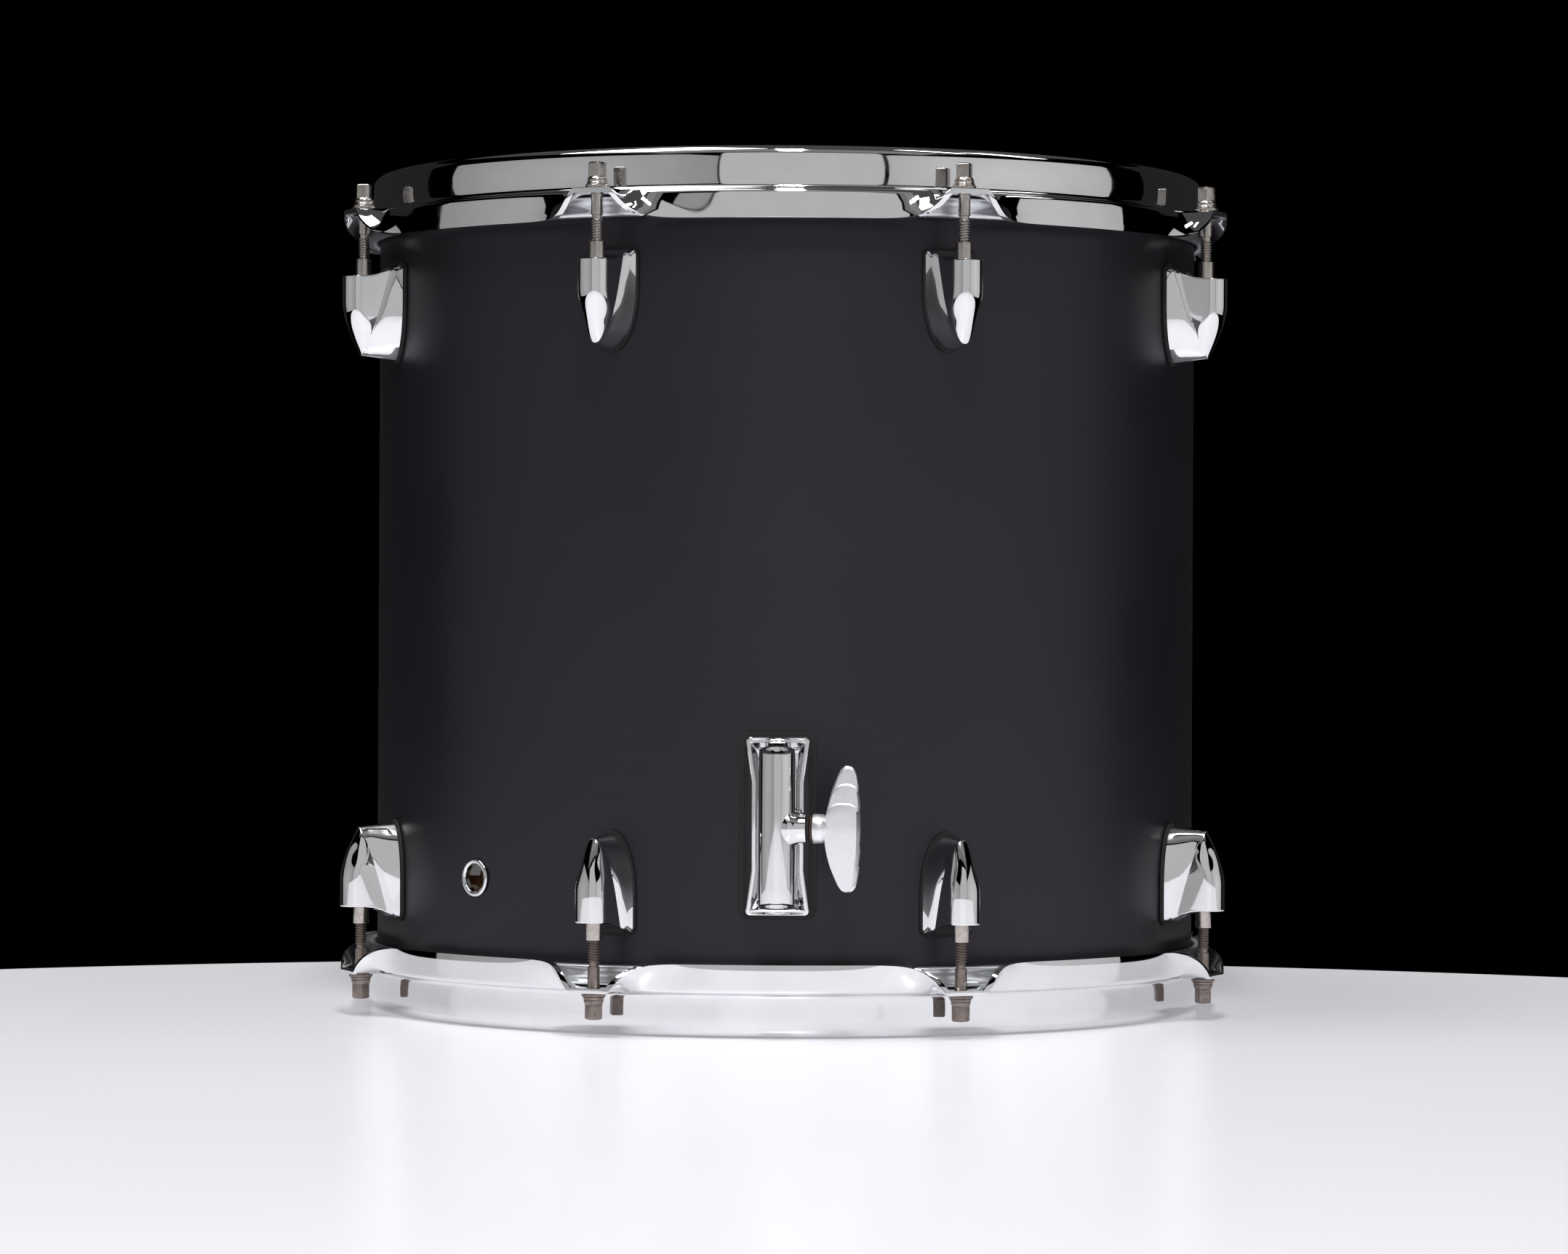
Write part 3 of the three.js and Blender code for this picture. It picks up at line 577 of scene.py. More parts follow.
# The square head: its top is inset and raised by KEY_RISE, which bevels it for the drum key.
KEY_WIDTH, KEY_FOOT, KEY_TOP, KEY_RISE = 0.006, 0.18645, 0.19515, 0.0006
select_only()
bpy.ops.mesh.primitive_cube_add(size=KEY_WIDTH)
key = bpy.context.object
for vertex in key.data.vertices:
    vertex.co.z = KEY_TOP if vertex.co.z > 0 else KEY_FOOT
bpy.ops.object.mode_set(mode="EDIT")
bpy.ops.mesh.select_mode(type="FACE")
bpy.ops.mesh.select_all(action="DESELECT")
bpy.ops.object.mode_set(mode="OBJECT")
for face in key.data.polygons:
    face.select = face.normal.z > 0.9
bpy.ops.object.mode_set(mode="EDIT")
bpy.ops.mesh.inset(thickness=0.0007)
bpy.ops.transform.translate(value=(0, 0, KEY_RISE))
bpy.ops.object.mode_set(mode="OBJECT")
modify(key, "BEVEL", width=0.00028, segments=3, limit_method="ANGLE", angle_limit=math.radians(25))

# The thread: the section of its ridge, as (radius, height) at the four corners of a plane, is run
# up the shank as often as whole turns fit below the smooth part.
select_only()
bpy.ops.mesh.primitive_plane_add(size=0.001)
thread = bpy.context.object
ridge = [(2.1, -0.58), (2.78, -0.12), (2.1, 0.58), (2.78, 0.12)]
for vertex, (radius, height) in zip(thread.data.vertices, ridge):
    vertex.co = Vector((radius, 0, THREAD_FOOT + height)) / 1000
modify(
    thread, "SCREW", axis="Z", angle=math.tau, screw_offset=THREAD_PITCH / 1000,
    iterations=int((THREAD_TOP - THREAD_FOOT - 0.6) / THREAD_PITCH), steps=24, render_steps=24,
    use_merge_vertices=True, merge_threshold=0.00001,
)
bpy.ops.object.mode_set(mode="EDIT")
close_up(fill=True)
for part in (key, thread):
    select_only(rod, part)
    bpy.ops.object.join()
smooth(rod, 40)

washer = turned(
    "rod_washer",
    [
        (3, 183.85), (5.3, 183.8), (5.6, 184.05), (5.6, 184.9), (5.4, 185.12), (3.1, 185.15),
        (3, 185.05), (3, 183.85),
    ],
    40,
)
smooth(washer, 40)


def at_station(angle, height=0):
    """The matrix that turns +X outwards and +Y along the shell at a station round the drum."""
    turn = Matrix.Rotation(math.radians(angle - 90), 4, "Z")
    return Matrix.Translation((0, 0, height / 1000)) @ turn


# Each rod has stopped at a different turn of its head: 17 degrees on from the last one.
TO_ROD = Matrix.Translation((ROD_CIRCLE / 1000, 0, 0))
for end, metal, first_turn in (("batter", bright_nickel, 48), ("resonant", darker_lower_end_nickel, 25)):
    for number, angle in enumerate(LUG_ANGLES, 1):
        head_turn = Matrix.Rotation(math.radians(first_turn + 17 * (number - 1)), 4, "Z")
        seat = ENDS[end] @ at_station(angle) @ TO_ROD
        screw = copied(rod, f"{end}_tension_rod_{number}", seat @ head_turn)
        ring = copied(washer, f"{end}_rod_washer_{number}", seat)
        for piece in (screw, ring):
            piece.data.materials.append(metal)
            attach(piece, f"{end}_rod_{number}")
        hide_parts(f"{end}_rod_{number}")
bpy.data.objects.remove(rod)
bpy.data.objects.remove(washer)


# Lugs: eight die-cast, chromed casings at each end, standing on a moulded rubber seat. A round
# tower carries the rod and sweeps back to a point below, with a crease between it and each side.
# A threaded sleeve stands out of the tower, and one screw from inside the shell holds it all.
def mix(a, b, share):
    """The value that lies at a share of the way from a to b."""
    return a + (b - a) * share


LUG_TOP, LUG_LENGTH = 157.1, 46.1
TOWER_HALF = 7.6
TOWER_TOP = 151.4
CASING_BACK = 203.1
SEAT_BACK = 201.75
ROUND_START = 0.35


def rounded_off(share, start):
    """The part of a lug's width that is left at a share of its length, where its lower end rounds
    off from a starting share to nothing."""
    return math.sqrt(max(0, 1 - max(0, (share - start) / (1 - start)) ** 2.3))


def lug_half_section(share):
    """Half of the casing's outline at a share of its length, as (radius, half width) to the nose."""
    around = rounded_off(share, ROUND_START)
    tower = TOWER_HALF * rounded_off(share, 0.55)
    nose = 229.1 - 9 * max(0, (share - ROUND_START) / (1 - ROUND_START)) ** 1.7
    merged = min(1, max(0, (share - 0.44) / 0.3))
    merged = merged * merged * (3 - 2 * merged)
    corner = 3.2 * (1 - math.sqrt(1 - max(0, 1 - share / 0.07) ** 2))
    base = 12.2 * around - corner
    valley = (208.3 + 11.7 * share, (8.5 - 1.95 * share) * around)
    ridge = (206.6 + 10.4 * share, (9.9 - 1.3 * share) * around)
    ridge = (
        mix(ridge[0], valley[0] - 0.9, merged),
        mix(ridge[1], valley[1] + 0.25 * around, merged),
    )
    edge = (mix(nose - 6.85, valley[0] + 0.3, merged), mix(tower, valley[1], merged))
    back = math.sqrt(CASING_BACK**2 - base**2)
    half = [(back, base * 0.98), (back + 0.4, base)]
    half += [(mix(back, ridge[0], s), mix(base, ridge[1], s)) for s in (0.3, 0.6, 0.86)]
    half.append((ridge[0] - 0.1, ridge[1] - 0.03))
    half += [(mix(ridge[0], valley[0], s), mix(ridge[1], valley[1], s)) for s in (0.3, 0.65, 1)]
    half += [(mix(valley[0], edge[0], s), mix(valley[1], edge[1], s)) for s in (0.1, 0.5, 0.85)]
    for step in range(13):
        turn = math.pi / 2 * (1 - step / 12)
        half.append((edge[0] + (nose - edge[0]) * math.cos(turn), edge[1] * math.sin(turn)))
    return half


def lug_row(share, scale=1, inset=0, drop=0):
    """A closed row of points round the casing, or across its top for a scale under 1."""
    half = []
    for radius, side in lug_half_section(share):
        run = min(1, max(0, (ROD_CIRCLE - radius) / (ROD_CIRCLE - CASING_BACK)))
        top = TOWER_TOP + (LUG_TOP - TOWER_TOP) * run**1.6
        bottom = LUG_TOP - LUG_LENGTH + 2.1 * max(0, (radius - CASING_BACK) / 17)
        radius = mix(CASING_BACK - 0.3, radius, 1 - inset / 26)
        side *= scale * (1 - inset / 8)
        half.append((radius, side, top - drop + (bottom - top + drop) * share))
    middle = (half[0][0], 0, half[0][2])
    return [middle, *half, *[(r, -t, z) for r, t, z in half[-2::-1]], middle]


casing_rows = [lug_row(0, scale, 0.5) for scale in (0, 0.4, 0.8)]
casing_rows += [lug_row(0, 1, 0.5), lug_row(0, 1, 0.15, 0.12), lug_row(0, 1, 0, 0.5)]
casing_rows += [
    lug_row(share) for share in (0.02, 0.035, 0.05, 0.07, 0.1, 0.15, 0.2, 0.25, 0.3, ROUND_START)
]
casing_rows += [
    lug_row(mix(ROUND_START, 1, math.sin(math.pi / 2 * step / 20))) for step in range(1, 21)
]
casing = placed_sheet("lug_casing", casing_rows, closed=True)
smooth(casing, 32)
casing.data.materials.append(chrome)

seat_rows = []
for step in range(33):
    share = step / 32 if step < 8 else 0.25 + 0.75 * math.sin(math.pi / 2 * (step - 8) / 24)
    corner = 3.6 * (1 - math.sqrt(1 - max(0, 1 - share / 0.075) ** 2))
    half = 13 * rounded_off(share, ROUND_START) - corner
    height = LUG_TOP + 1.2 - (LUG_LENGTH + 2.4) * share
    sides = [(SEAT_BACK, half), (SEAT_BACK + 0.9, half), (SEAT_BACK + 1.25, half * 0.975)]
    row = [(math.sqrt(r * r - t * t), t, height) for r, t in sides]
    middle = [(SEAT_BACK + 1.25, 0, height)]
    row = [(SEAT_BACK, 0, height), *row, *middle, *[(r, -t, z) for r, t, z in row[::-1]]]
    row.append(row[0])
    if step == 0:
        seat_rows.append([(r, 0, z) for r, t, z in row])
    seat_rows.append(row)
lug_seat = placed_sheet("lug_seat", seat_rows)
smooth(lug_seat, 50)

# Moulded rubber: near-black with a soft sheen and a fine grain of 0.5 mm.
rubber, tree, shader, place = new_material("moulded_rubber")
grit = add_node(tree, "TexNoise", {"Vector": place, "Scale": 2000, "Detail": 2})
bloom = add_node(tree, "TexNoise", {"Vector": place, "Scale": 60, "Detail": 2})
tone = add_node(
    tree,
    "Mix",
    {"Factor": bloom.outputs[0], "A": colour("060607"), "B": colour("0D0D0E")},
    data_type="RGBA",
)
dull = add_node(tree, "MapRange", {"Value": bloom.outputs[0], "To Min": 0.7, "To Max": 0.85})
relief = add_node(tree, "Bump", {"Height": grit.outputs[0], "Strength": 0.25, "Distance": 0.00006})
set_inputs(shader, {
    "Base Color": tone.outputs["Result"], "Roughness": dull.outputs[0], "Normal": relief.outputs[0],
})
lug_seat.data.materials.append(rubber)

sleeve = turned(
    "rod_sleeve",
    [
        (3.1, 150.6), (3.75, 150.6), (3.75, 159.2), (3.65, 159.5), (3.4, 159.6), (3.2, 159.55),
        (3.1, 159.3), (3.1, 150.6),
    ],
    48,
)
smooth(sleeve, 40)
sleeve.data.materials.append(bright_nickel)


SCREW_HEAD = 191.7
SLOT_LENGTH, SLOT_WIDTH, SLOT_DEPTH = 4.6, 4.6 / 4.5, 2.4


def shell_screw(name, shank, tip):
    """A screw that is put in from inside the shell, with a cross for the driver in its domed head.
    Given are the shank's radius and how far the tip lies from the drum's axis."""
    screw = turned(
        name,
        [
            (0, SCREW_HEAD), (2.4, 191.8), (3.6, 192.3), (4.3, 193.1), (4.5, 194), (4.45, 194.6),
            (4.3, 194.7), (shank, 194.7), (shank, tip), (0, tip),
        ],
        40,
    )
    for turn in (0, math.pi / 2):
        select_only()
        bpy.ops.mesh.primitive_cube_add(
            size=0.001, location=(0, 0, SCREW_HEAD / 1000), rotation=(0, 0, turn)
        )
        slot = bpy.context.object
        slot.scale = (SLOT_LENGTH, SLOT_WIDTH, SLOT_DEPTH)
        bpy.ops.object.transform_apply(location=True, rotation=True, scale=True)
        combine(screw, slot, "DIFFERENCE")
    smooth(screw, 40)
    screw.data.materials.append(bright_nickel)
    return screw


lug_screw = shell_screw("lug_screw", 2, 203.4)
for end, flip in ENDS.items():
    for number, angle in enumerate(LUG_ANGLES, 1):
        place = flip @ at_station(angle)
        in_wall = flip @ outwards(0, angle, LUG_SCREW_HEIGHT)
        body = copied(casing, f"{end}_lug_casing_{number}", place)
        seat = copied(lug_seat, f"{end}_lug_seat_{number}", place)
        tube = copied(sleeve, f"{end}_lug_sleeve_{number}", place @ TO_ROD)
        fixing = copied(lug_screw, f"{end}_lug_screw_{number}", in_wall)
        for piece, slot in ((body, "chrome"), (seat, "rubber"), (tube, "nickel"), (fixing, "steel")):
            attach(piece, "drum")
        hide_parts(f"{end}_lug_{number}")
for source in (casing, lug_seat, sleeve, lug_screw):
    bpy.data.objects.remove(source)


# Leg brackets: three die-cast, chromed castings. A drafted frame with a waist carries the barrel
# that the leg slides in, and the boss for its wing bolt leans 7 degrees away from the shell.
# Two screws from inside the shell hold each one on its gasket.
LEG_AXIS = 232
LEG_BORE = 5.3
BOLT_BORE = 4.45
BOSS_TILT = 7


def bracket_outline(end_half, waist_half, half_height, corner):
    """The frame's outline as (across, up) points, counterclockwise from the middle of its top."""
    quarter = [(end_half * s, half_height) for s in (0, 0.2, 0.4, 0.6, 0.75)]
    for step in range(7):
        turn = math.pi / 2 * (1 - step / 6)
        across = end_half - corner + corner * math.cos(turn)
        quarter.append((across, half_height - corner + corner * math.sin(turn)))
    for share in (0.35, 0.7, 1):
        quarter.append((mix(end_half, waist_half, share), mix(half_height - corner, 20, share)))
    quarter += [(waist_half, 12), (waist_half, 4)]
    lower = [(across, -up) for across, up in quarter[::-1]]
    right = quarter + lower
    left = [(-across, up) for across, up in right[-2:0:-1]]
    return [*right, *left, right[0]]


def bracket_loop(radius, end_half, waist_half, half_height, corner, on_shell=False, scoop=0):
    """The outline at a radius, bent round the shell if asked, or with its ends scooped inwards."""
    loop = []
    for across, up in bracket_outline(end_half, waist_half, half_height, corner):
        out = math.sqrt(radius**2 - across**2) if on_shell else radius
        if scoop and abs(up) > half_height - 0.01:
            out -= scoop * max(0, 1 - (across / (end_half - 0.5)) ** 2)
        loop.append((out, across, up))
    return loop


frame_loops = [
    bracket_loop(*sizes)
    for sizes in (
        (203.35, 14.9, 14.9, 40, 2.4, True), (203.35, 15.3, 15.3, 40.4, 2.6, True),
        (203.6, 15.5, 15.5, 40.6, 2.8, True), (204.6, 15.4, 15.3, 40.6, 2.7, True),
        (210.1, 14.45, 11.9, 40.6, 2), (210.7, 14.3, 11.75, 40.45, 1.9),
        (210.95, 14, 11.5, 40.15, 1.8), (211, 13.7, 11.2, 39.8, 1.7, False, 0.1),
        (211, 13.3, 10.8, 39.3, 1.5, False, 0.5), (211, 12.9, 10.3, 38.8, 1.2, False, 0.55),
        (211, 12.5, 9.7, 38.2, 0.9, False, 0.25), (210.9, 12.2, 9.5, 37.95, 0.8),
        (210.6, 12, 9.35, 37.75, 0.7), (206, 9.6, 8.6, 33.6, 0.4), (205.8, 9.3, 8.4, 33.3, 0.3),
    )
]
bracket = placed_sheet("leg_bracket", frame_loops, closed=True)

barrel = turned(
    "leg_barrel",
    [
        (0, -33.6), (7.5, -33.6), (8.05, -33.4),
        *[(8.25 - 0.15 * (height / 33) ** 2, height) for height in range(-33, 34, 6)],
        (8.05, 33.4), (7.5, 33.6), (0, 33.6),
    ],
    96,
)
for vertex in barrel.data.vertices:
    from_end = max(0, 1000 * abs(vertex.co.z) - 27.5) / 6.1
    rise = 0.0034 * from_end * (0.5 - vertex.co.x / 0.0144)
    vertex.co.z += math.copysign(rise, vertex.co.z)
TO_LEG = Matrix.Translation((LEG_AXIS / 1000, 0, 0))
barrel.data.transform(TO_LEG)

# The web between the frame and the barrel: a block whose back is taller than its front.
select_only()
bpy.ops.mesh.primitive_cube_add(size=0.001)
web = bpy.context.object
web.name = "leg_web"
for vertex in web.data.vertices:
    back = vertex.co.x < 0
    half_height = 35.9 if back else 32.6
    vertex.co = Vector((
        0.2054 if back else 0.2275,
        math.copysign(0.0059 if back else 0.0053, vertex.co.y),
        math.copysign(half_height / 1000, vertex.co.z),
    ))
modify(web, "BEVEL", width=0.0008, segments=3)

boss = turned(
    "bolt_boss",
    [
        (0, 2), (7.4, 2), (8.4, 5), (8.6, 6), (8.3, 7.2), (7.75, 8.5), (7.3, 9.8), (7.05, 11.2),
        (7, 13.3), (6.9, 13.7), (6.6, 13.9), (0, 13.9),
    ],
    72,
)
TILTED = Matrix.Rotation(math.radians(-BOSS_TILT), 4, "Z")
TO_BOSS = TILTED @ Matrix.Rotation(-math.pi / 2, 4, "X")
boss.data.transform(TO_LEG @ TO_BOSS)
for added in (barrel, web, boss):
    combine(bracket, added, "UNION")
drilled(bracket, [(TO_LEG, LEG_BORE, 80)], 96)
drilled(bracket, [(TO_LEG @ TO_BOSS @ Matrix.Translation((0, 0, 0.008)), BOLT_BORE, 14)])
smooth(bracket, 30)
bracket.data.materials.append(chrome)

# The gasket's faces come out facing inwards, so they are flipped before the holes are cut.
gasket_loops = [
    bracket_loop(radius, half_width, half_width, half_height, corner, on_shell=True)
    for radius, half_width, half_height, corner in (
        (201.8, 17.3, 42.4, 5), (201.8, 17.7, 42.8, 5.2), (202.7, 17.7, 42.8, 5.2),
        (203.2, 17.5, 42.6, 5.1), (203.3, 17, 42.1, 4.9), (203.3, 14, 39, 3), (203.3, 8, 33, 1),
        (203.3, 1, 26, 0.2),
    )
]
gasket = placed_sheet("bracket_gasket", gasket_loops, closed=True)
gasket.data.flip_normals()
ALONG_X = Matrix.Rotation(math.pi / 2, 4, "Y")
gasket_holes = []
for offset in (BRACKET_SCREW_OFFSET, -BRACKET_SCREW_OFFSET):
    place = Matrix.Translation((0.2025, 0, offset / 1000)) @ ALONG_X
    gasket_holes.append((place, BRACKET_SCREW_HOLE, 8))
drilled(gasket, gasket_holes)
smooth(gasket, 40)
gasket.data.materials.append(rubber)

bracket_screw = shell_screw("bracket_screw", 2.5, 203.5)
for name, angle in BRACKET_ANGLES.items():
    casting = copied(bracket, f"leg_bracket_casting_{name}", at_station(angle, BRACKET_HEIGHT))
    seal = copied(gasket, f"leg_bracket_gasket_{name}", at_station(angle, BRACKET_HEIGHT))
    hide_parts(f"leg_bracket_{name}")
    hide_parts(f"bracket_gasket_{name}")
    fixings = []
    for place, offset in (("upper", BRACKET_SCREW_OFFSET), ("lower", -BRACKET_SCREW_OFFSET)):
        seat = outwards(0, angle, BRACKET_HEIGHT + offset)
        fixings.append((copied(bracket_screw, f"leg_bracket_screw_{name}_{place}", seat), "steel"))
    for piece, slot in ((casting, "chrome"), (seal, "rubber"), *fixings):
        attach(piece, "drum")
for source in (bracket, gasket, bracket_screw):
    bpy.data.objects.remove(source)


# Wing bolts: a steel stud with a coarse collar, a rubber ring on the boss, a loose shoe inside it
# that presses on the leg, and a die-cast wing in silver-grey paint, whose two blades are stepped
# like leaves on opposite faces.
shoe = turned(
    "clamp_shoe",
    [(0, 5.45), (3.5, 5.45), (4, 5.85), (4, 7.9), (3.7, 8.25), (0, 8.25)],
    48,
)
smooth(shoe, 40)
rubber_ring = turned(
    "boss_ring",
    [
        (4.5, 14.25), (6.5, 14.2), (6.85, 14.4), (6.9, 14.7), (6.85, 15), (6.5, 15.2), (4.5, 15.15),
        (4.5, 14.25),
    ],
    64,
)
smooth(rubber_ring, 60)
stud = turned(
    "wing_stud",
    [
        (0, 8.5), (3.6, 8.5), (4, 8.9), (4, 15.5), (6.35, 15.5), (6.6, 15.6), (6.5, 15.75),
        (6.6, 15.9), (6.5, 16.05), (6.6, 16.2), (6.4, 16.4), (4, 16.4), (4, 24), (0, 24),
    ],
    64,
)
smooth(stud, 60)

# Outline of a blade from the hub to its tip: (height, inner edge, outer edge) on its leafed face
# and on its plain face. Its outer edge swells between them.
BLADE_TIP = 28.4
LEAFED = [
    (0, 22.2, 36.7), (4, 22.5, 36.65), (8.1, 23.4, 36.5), (8.2, 23.5, 37.5), (12, 24.5, 37.2),
    (17.2, 26, 36.6), (17.3, 26.2, 37.2), (22.4, 27.9, 36.5), (BLADE_TIP, 29.9, 35.4),
]
PLAIN = [
    (0, 22.2, 36.7), (4.8, 22.3, 36.6), (9, 22.75, 36.4), (13.1, 23.6, 36), (17.3, 24.8, 35.5),
    (21.5, 26.5, 34.9), (25.4, 28.2, 34.4), (BLADE_TIP, 29.4, 34),
]


def outline_at(outline, height):
    """Inner and outer edge of a blade at a height, between the points of its outline."""
    for (low, *start), (high, *end) in zip(outline, outline[1:]):
        if height <= high:
            share = max(0, (height - low) / (high - low))
            return [mix(a, b, share) for a, b in zip(start, end)]
    return outline[-1][1:]


ACROSS = [math.sin(math.pi / 2 * (step / 10 - 1)) for step in range(21)]
LEAF_TOPS = [(28.3, 25.2), (20.4, 17.2), (11.7, 8.1)]
LEAF_DEPTHS = [(2.75, 1.95), (3.95, 3.4), (4.75, 4.6)]
ROUNDINGS = [2.2, 2.4, 5.5]
TIP_START = 0.9
blade_rows = []


def blade_row(top, edge, below, depth):
    """A closed row round the blade that follows the arc of a leaf's top at a distance below it."""
    front, rear = [], []
    for across in ACROSS:
        height = max(0, mix(edge, top, max(0, 1 - abs(across) ** 3) ** 0.6) - below)
        for points, outline, side in ((front, LEAFED, 1), (rear, PLAIN, -1)):
            inner, outer = outline_at(outline, height)
            plain_depth = mix(4.75, 2.3, (height / BLADE_TIP) ** 1.3)
            if top == LEAF_TOPS[0][0] and below == 0:
                plain_depth -= TIP_START
            out = depth(height) if side > 0 else -plain_depth
            points.append((out, mix(inner, outer, (across + 1) / 2), height))
    outer_side = []
    for share, out in ((0.95, 0.12), (0.5, 0.75), (0, 1.4), (-0.5, 0.75), (-0.95, 0.12)):
        x, y, height = [mix(rear[-1][axis], front[-1][axis], (share + 1) / 2) for axis in range(3)]
        outer_side.append((x, y + out * (1 - 0.5 * height / BLADE_TIP), height))
    inner_side = []
    for share, out in ((-0.85, 0.3), (0, 0.45), (0.85, 0.3)):
        x, y, height = [mix(rear[0][axis], front[0][axis], (share + 1) / 2) for axis in range(3)]
        inner_side.append((x, y - out, height))
    return [*front, *outer_side, *rear[::-1], *inner_side, front[0]]


def leaf_depth(index, height):
    """How far the face of a leaf stands out at a height."""
    low = 0 if index == 2 else LEAF_TOPS[index + 1][1]
    near, far = LEAF_DEPTHS[index]
    return mix(near, far, max(0, height - low) / (LEAF_TOPS[index][0] - low))


for index, (top, edge) in enumerate(LEAF_TOPS):
    for step in range(8):
        share = (step / 7) ** 1.6
        rounded = math.sqrt(1 - (1 - share) ** 2)

        def depth(height, index=index, rounded=rounded):
            """How far the face stands out on its way from the leaf above to this one."""
            start = leaf_depth(index - 1, height) if index else TIP_START
            return mix(start, leaf_depth(index, height), rounded)

        blade_rows.append(blade_row(top, edge, ROUNDINGS[index] * share, depth))
    next_top, next_edge = LEAF_TOPS[index + 1] if index < 2 else (0, 0)
    for share in (0.35, 0.7, 1):
        low_top = mix(top - ROUNDINGS[index], next_top, share)
        low_edge = mix(edge - ROUNDINGS[index], next_edge, share)
        below = 0.02 if share == 1 else 0
        blade_rows.append(blade_row(low_top, low_edge, below, lambda h, i=index: leaf_depth(i, h)))
tip_middle = [sum(point[axis] for point in blade_rows[0]) / len(blade_rows[0]) for axis in range(3)]
blade_rows.insert(0, [
    tuple(mix(tip_middle[axis], point[axis], 0.5) for axis in range(3)) for point in blade_rows[0]
])
blade_rows.insert(0, [tuple(tip_middle)] * len(blade_rows[0]))
upper_blade = placed_sheet("wing", blade_rows)
lower_blade = copied(upper_blade, "wing_lower", Matrix.Rotation(math.pi, 4, "Y"))
select_only(upper_blade, lower_blade)
bpy.ops.object.join()
wing = upper_blade
bpy.ops.object.mode_set(mode="EDIT")
close_up(0.00001)
smooth(wing, 35)
hub = turned(
    "wing_hub",
    [
        (4.15, 16.8), (6.5, 16.7), (6.7, 16.95), (6.66, 19.5), (6.6, 21), (5.9, 22.2), (5, 23.2),
        (4.5, 24.4), (4.15, 24.4), (4.15, 16.8),
    ],
    64,
)
hub.data.transform(Matrix.Rotation(-math.pi / 2, 4, "X"))
smooth(hub, 40)

# Silver-grey paint: light neutral enamel with metal flake, so it sparkles in specks of 0.2 mm.
silver_paint, tree, shader, place = new_material("silver_flake_paint")
flake = add_node(tree, "TexVoronoi", {"Vector": place, "Scale": 5200})
flake_tone = add_node(tree, "ValToRGB", {"Fac": flake.outputs["Color"]})
flake_tone.color_ramp.elements[0].position = 0.25
flake_tone.color_ramp.elements[0].color = colour("D8D8DC")
flake_tone.color_ramp.elements[1].position = 0.85
flake_tone.color_ramp.elements[1].color = colour("EFEFF1")
flake_dull = add_node(
    tree, "MapRange", {"Value": flake.outputs["Color"], "To Min": 0.28, "To Max": 0.42}
)
relief = add_node(
    tree, "Bump", {"Height": flake.outputs["Distance"], "Strength": 0.15, "Distance": 0.00005}
)
set_inputs(shader, {
    "Base Color": flake_tone.outputs[0], "Roughness": flake_dull.outputs[0],
    "Normal": relief.outputs[0], "Metallic": 0.9,
})
for painted in (wing, hub):
    painted.data.materials.append(silver_paint)

# Steel of the stud and its collar, coarse and pitted. Its dark warm brown is painted shade from the gap
# between boss and hub, with the brownish reflection seen there painted in as well.
stud_steel_with_painted_shade = nickel_plating("stud_steel_with_painted_shade", "7C635B", "3A2C29", 0.35, 0.6, 1)
stud.data.materials.append(stud_steel_with_painted_shade)
shoe.data.materials.append(bright_nickel)
rubber_ring.data.materials.append(rubber)
for name, angle in BRACKET_ANGLES.items():
    leg = at_station(angle, BRACKET_HEIGHT) @ TO_LEG
    on_boss = leg @ TO_BOSS
    upright = leg @ TILTED
    for source, piece_name, matrix, body, node, slot in (
        (shoe, "leg_clamp_shoe", on_boss, "clamp_shoe", "clamp_shoe", "nickel"),
        (rubber_ring, "boss_rubber_ring", on_boss, "drum", "wing_washer", "rubber"),
        (stud, "wing_bolt_stud", on_boss, "wing_bolt", "wing_stud", "steel"),
        (wing, "wing_bolt_wing", upright, "wing_bolt", "wing_handle", "silver_paint"),
        (hub, "wing_bolt_hub", upright, "wing_bolt", None, "silver_paint"),
    ):
        piece = copied(source, f"{piece_name}_{name}", matrix)
        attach(piece, body if body == "drum" else f"{body}_{name}")
        if node:
            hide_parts(f"{node}_{name}")
for source in (shoe, rubber_ring, stud, wing, hub):
    bpy.data.objects.remove(source)


# Studio: an oval white table under the drum, three tall grey panels behind the camera, one panel
# higher up, a soft lamp overhead and narrow strips that give the chrome its highlights. The walls
# and the ceiling are dim, and the chrome shows the rest as black.
FLOOR = cad_low[2]
TABLE_THICKNESS = 0.03
TABLE_HALF_WIDTH, TABLE_HALF_DEPTH = 1.13, 1.5
TABLE_MIDDLE_Y = -1.172
select_only()
bpy.ops.mesh.primitive_cylinder_add(
    vertices=256, radius=1, depth=TABLE_THICKNESS,
    location=(0, TABLE_MIDDLE_Y, FLOOR - TABLE_THICKNESS / 2),
)
table = bpy.context.object
table.name = "white_table"
table.scale = (TABLE_HALF_WIDTH, TABLE_HALF_DEPTH, 1)
bpy.ops.object.transform_apply(location=True, scale=True)
modify(table, "BEVEL", width=0.002, segments=3, limit_method="ANGLE", angle_limit=math.radians(40))
smooth(table, 40)

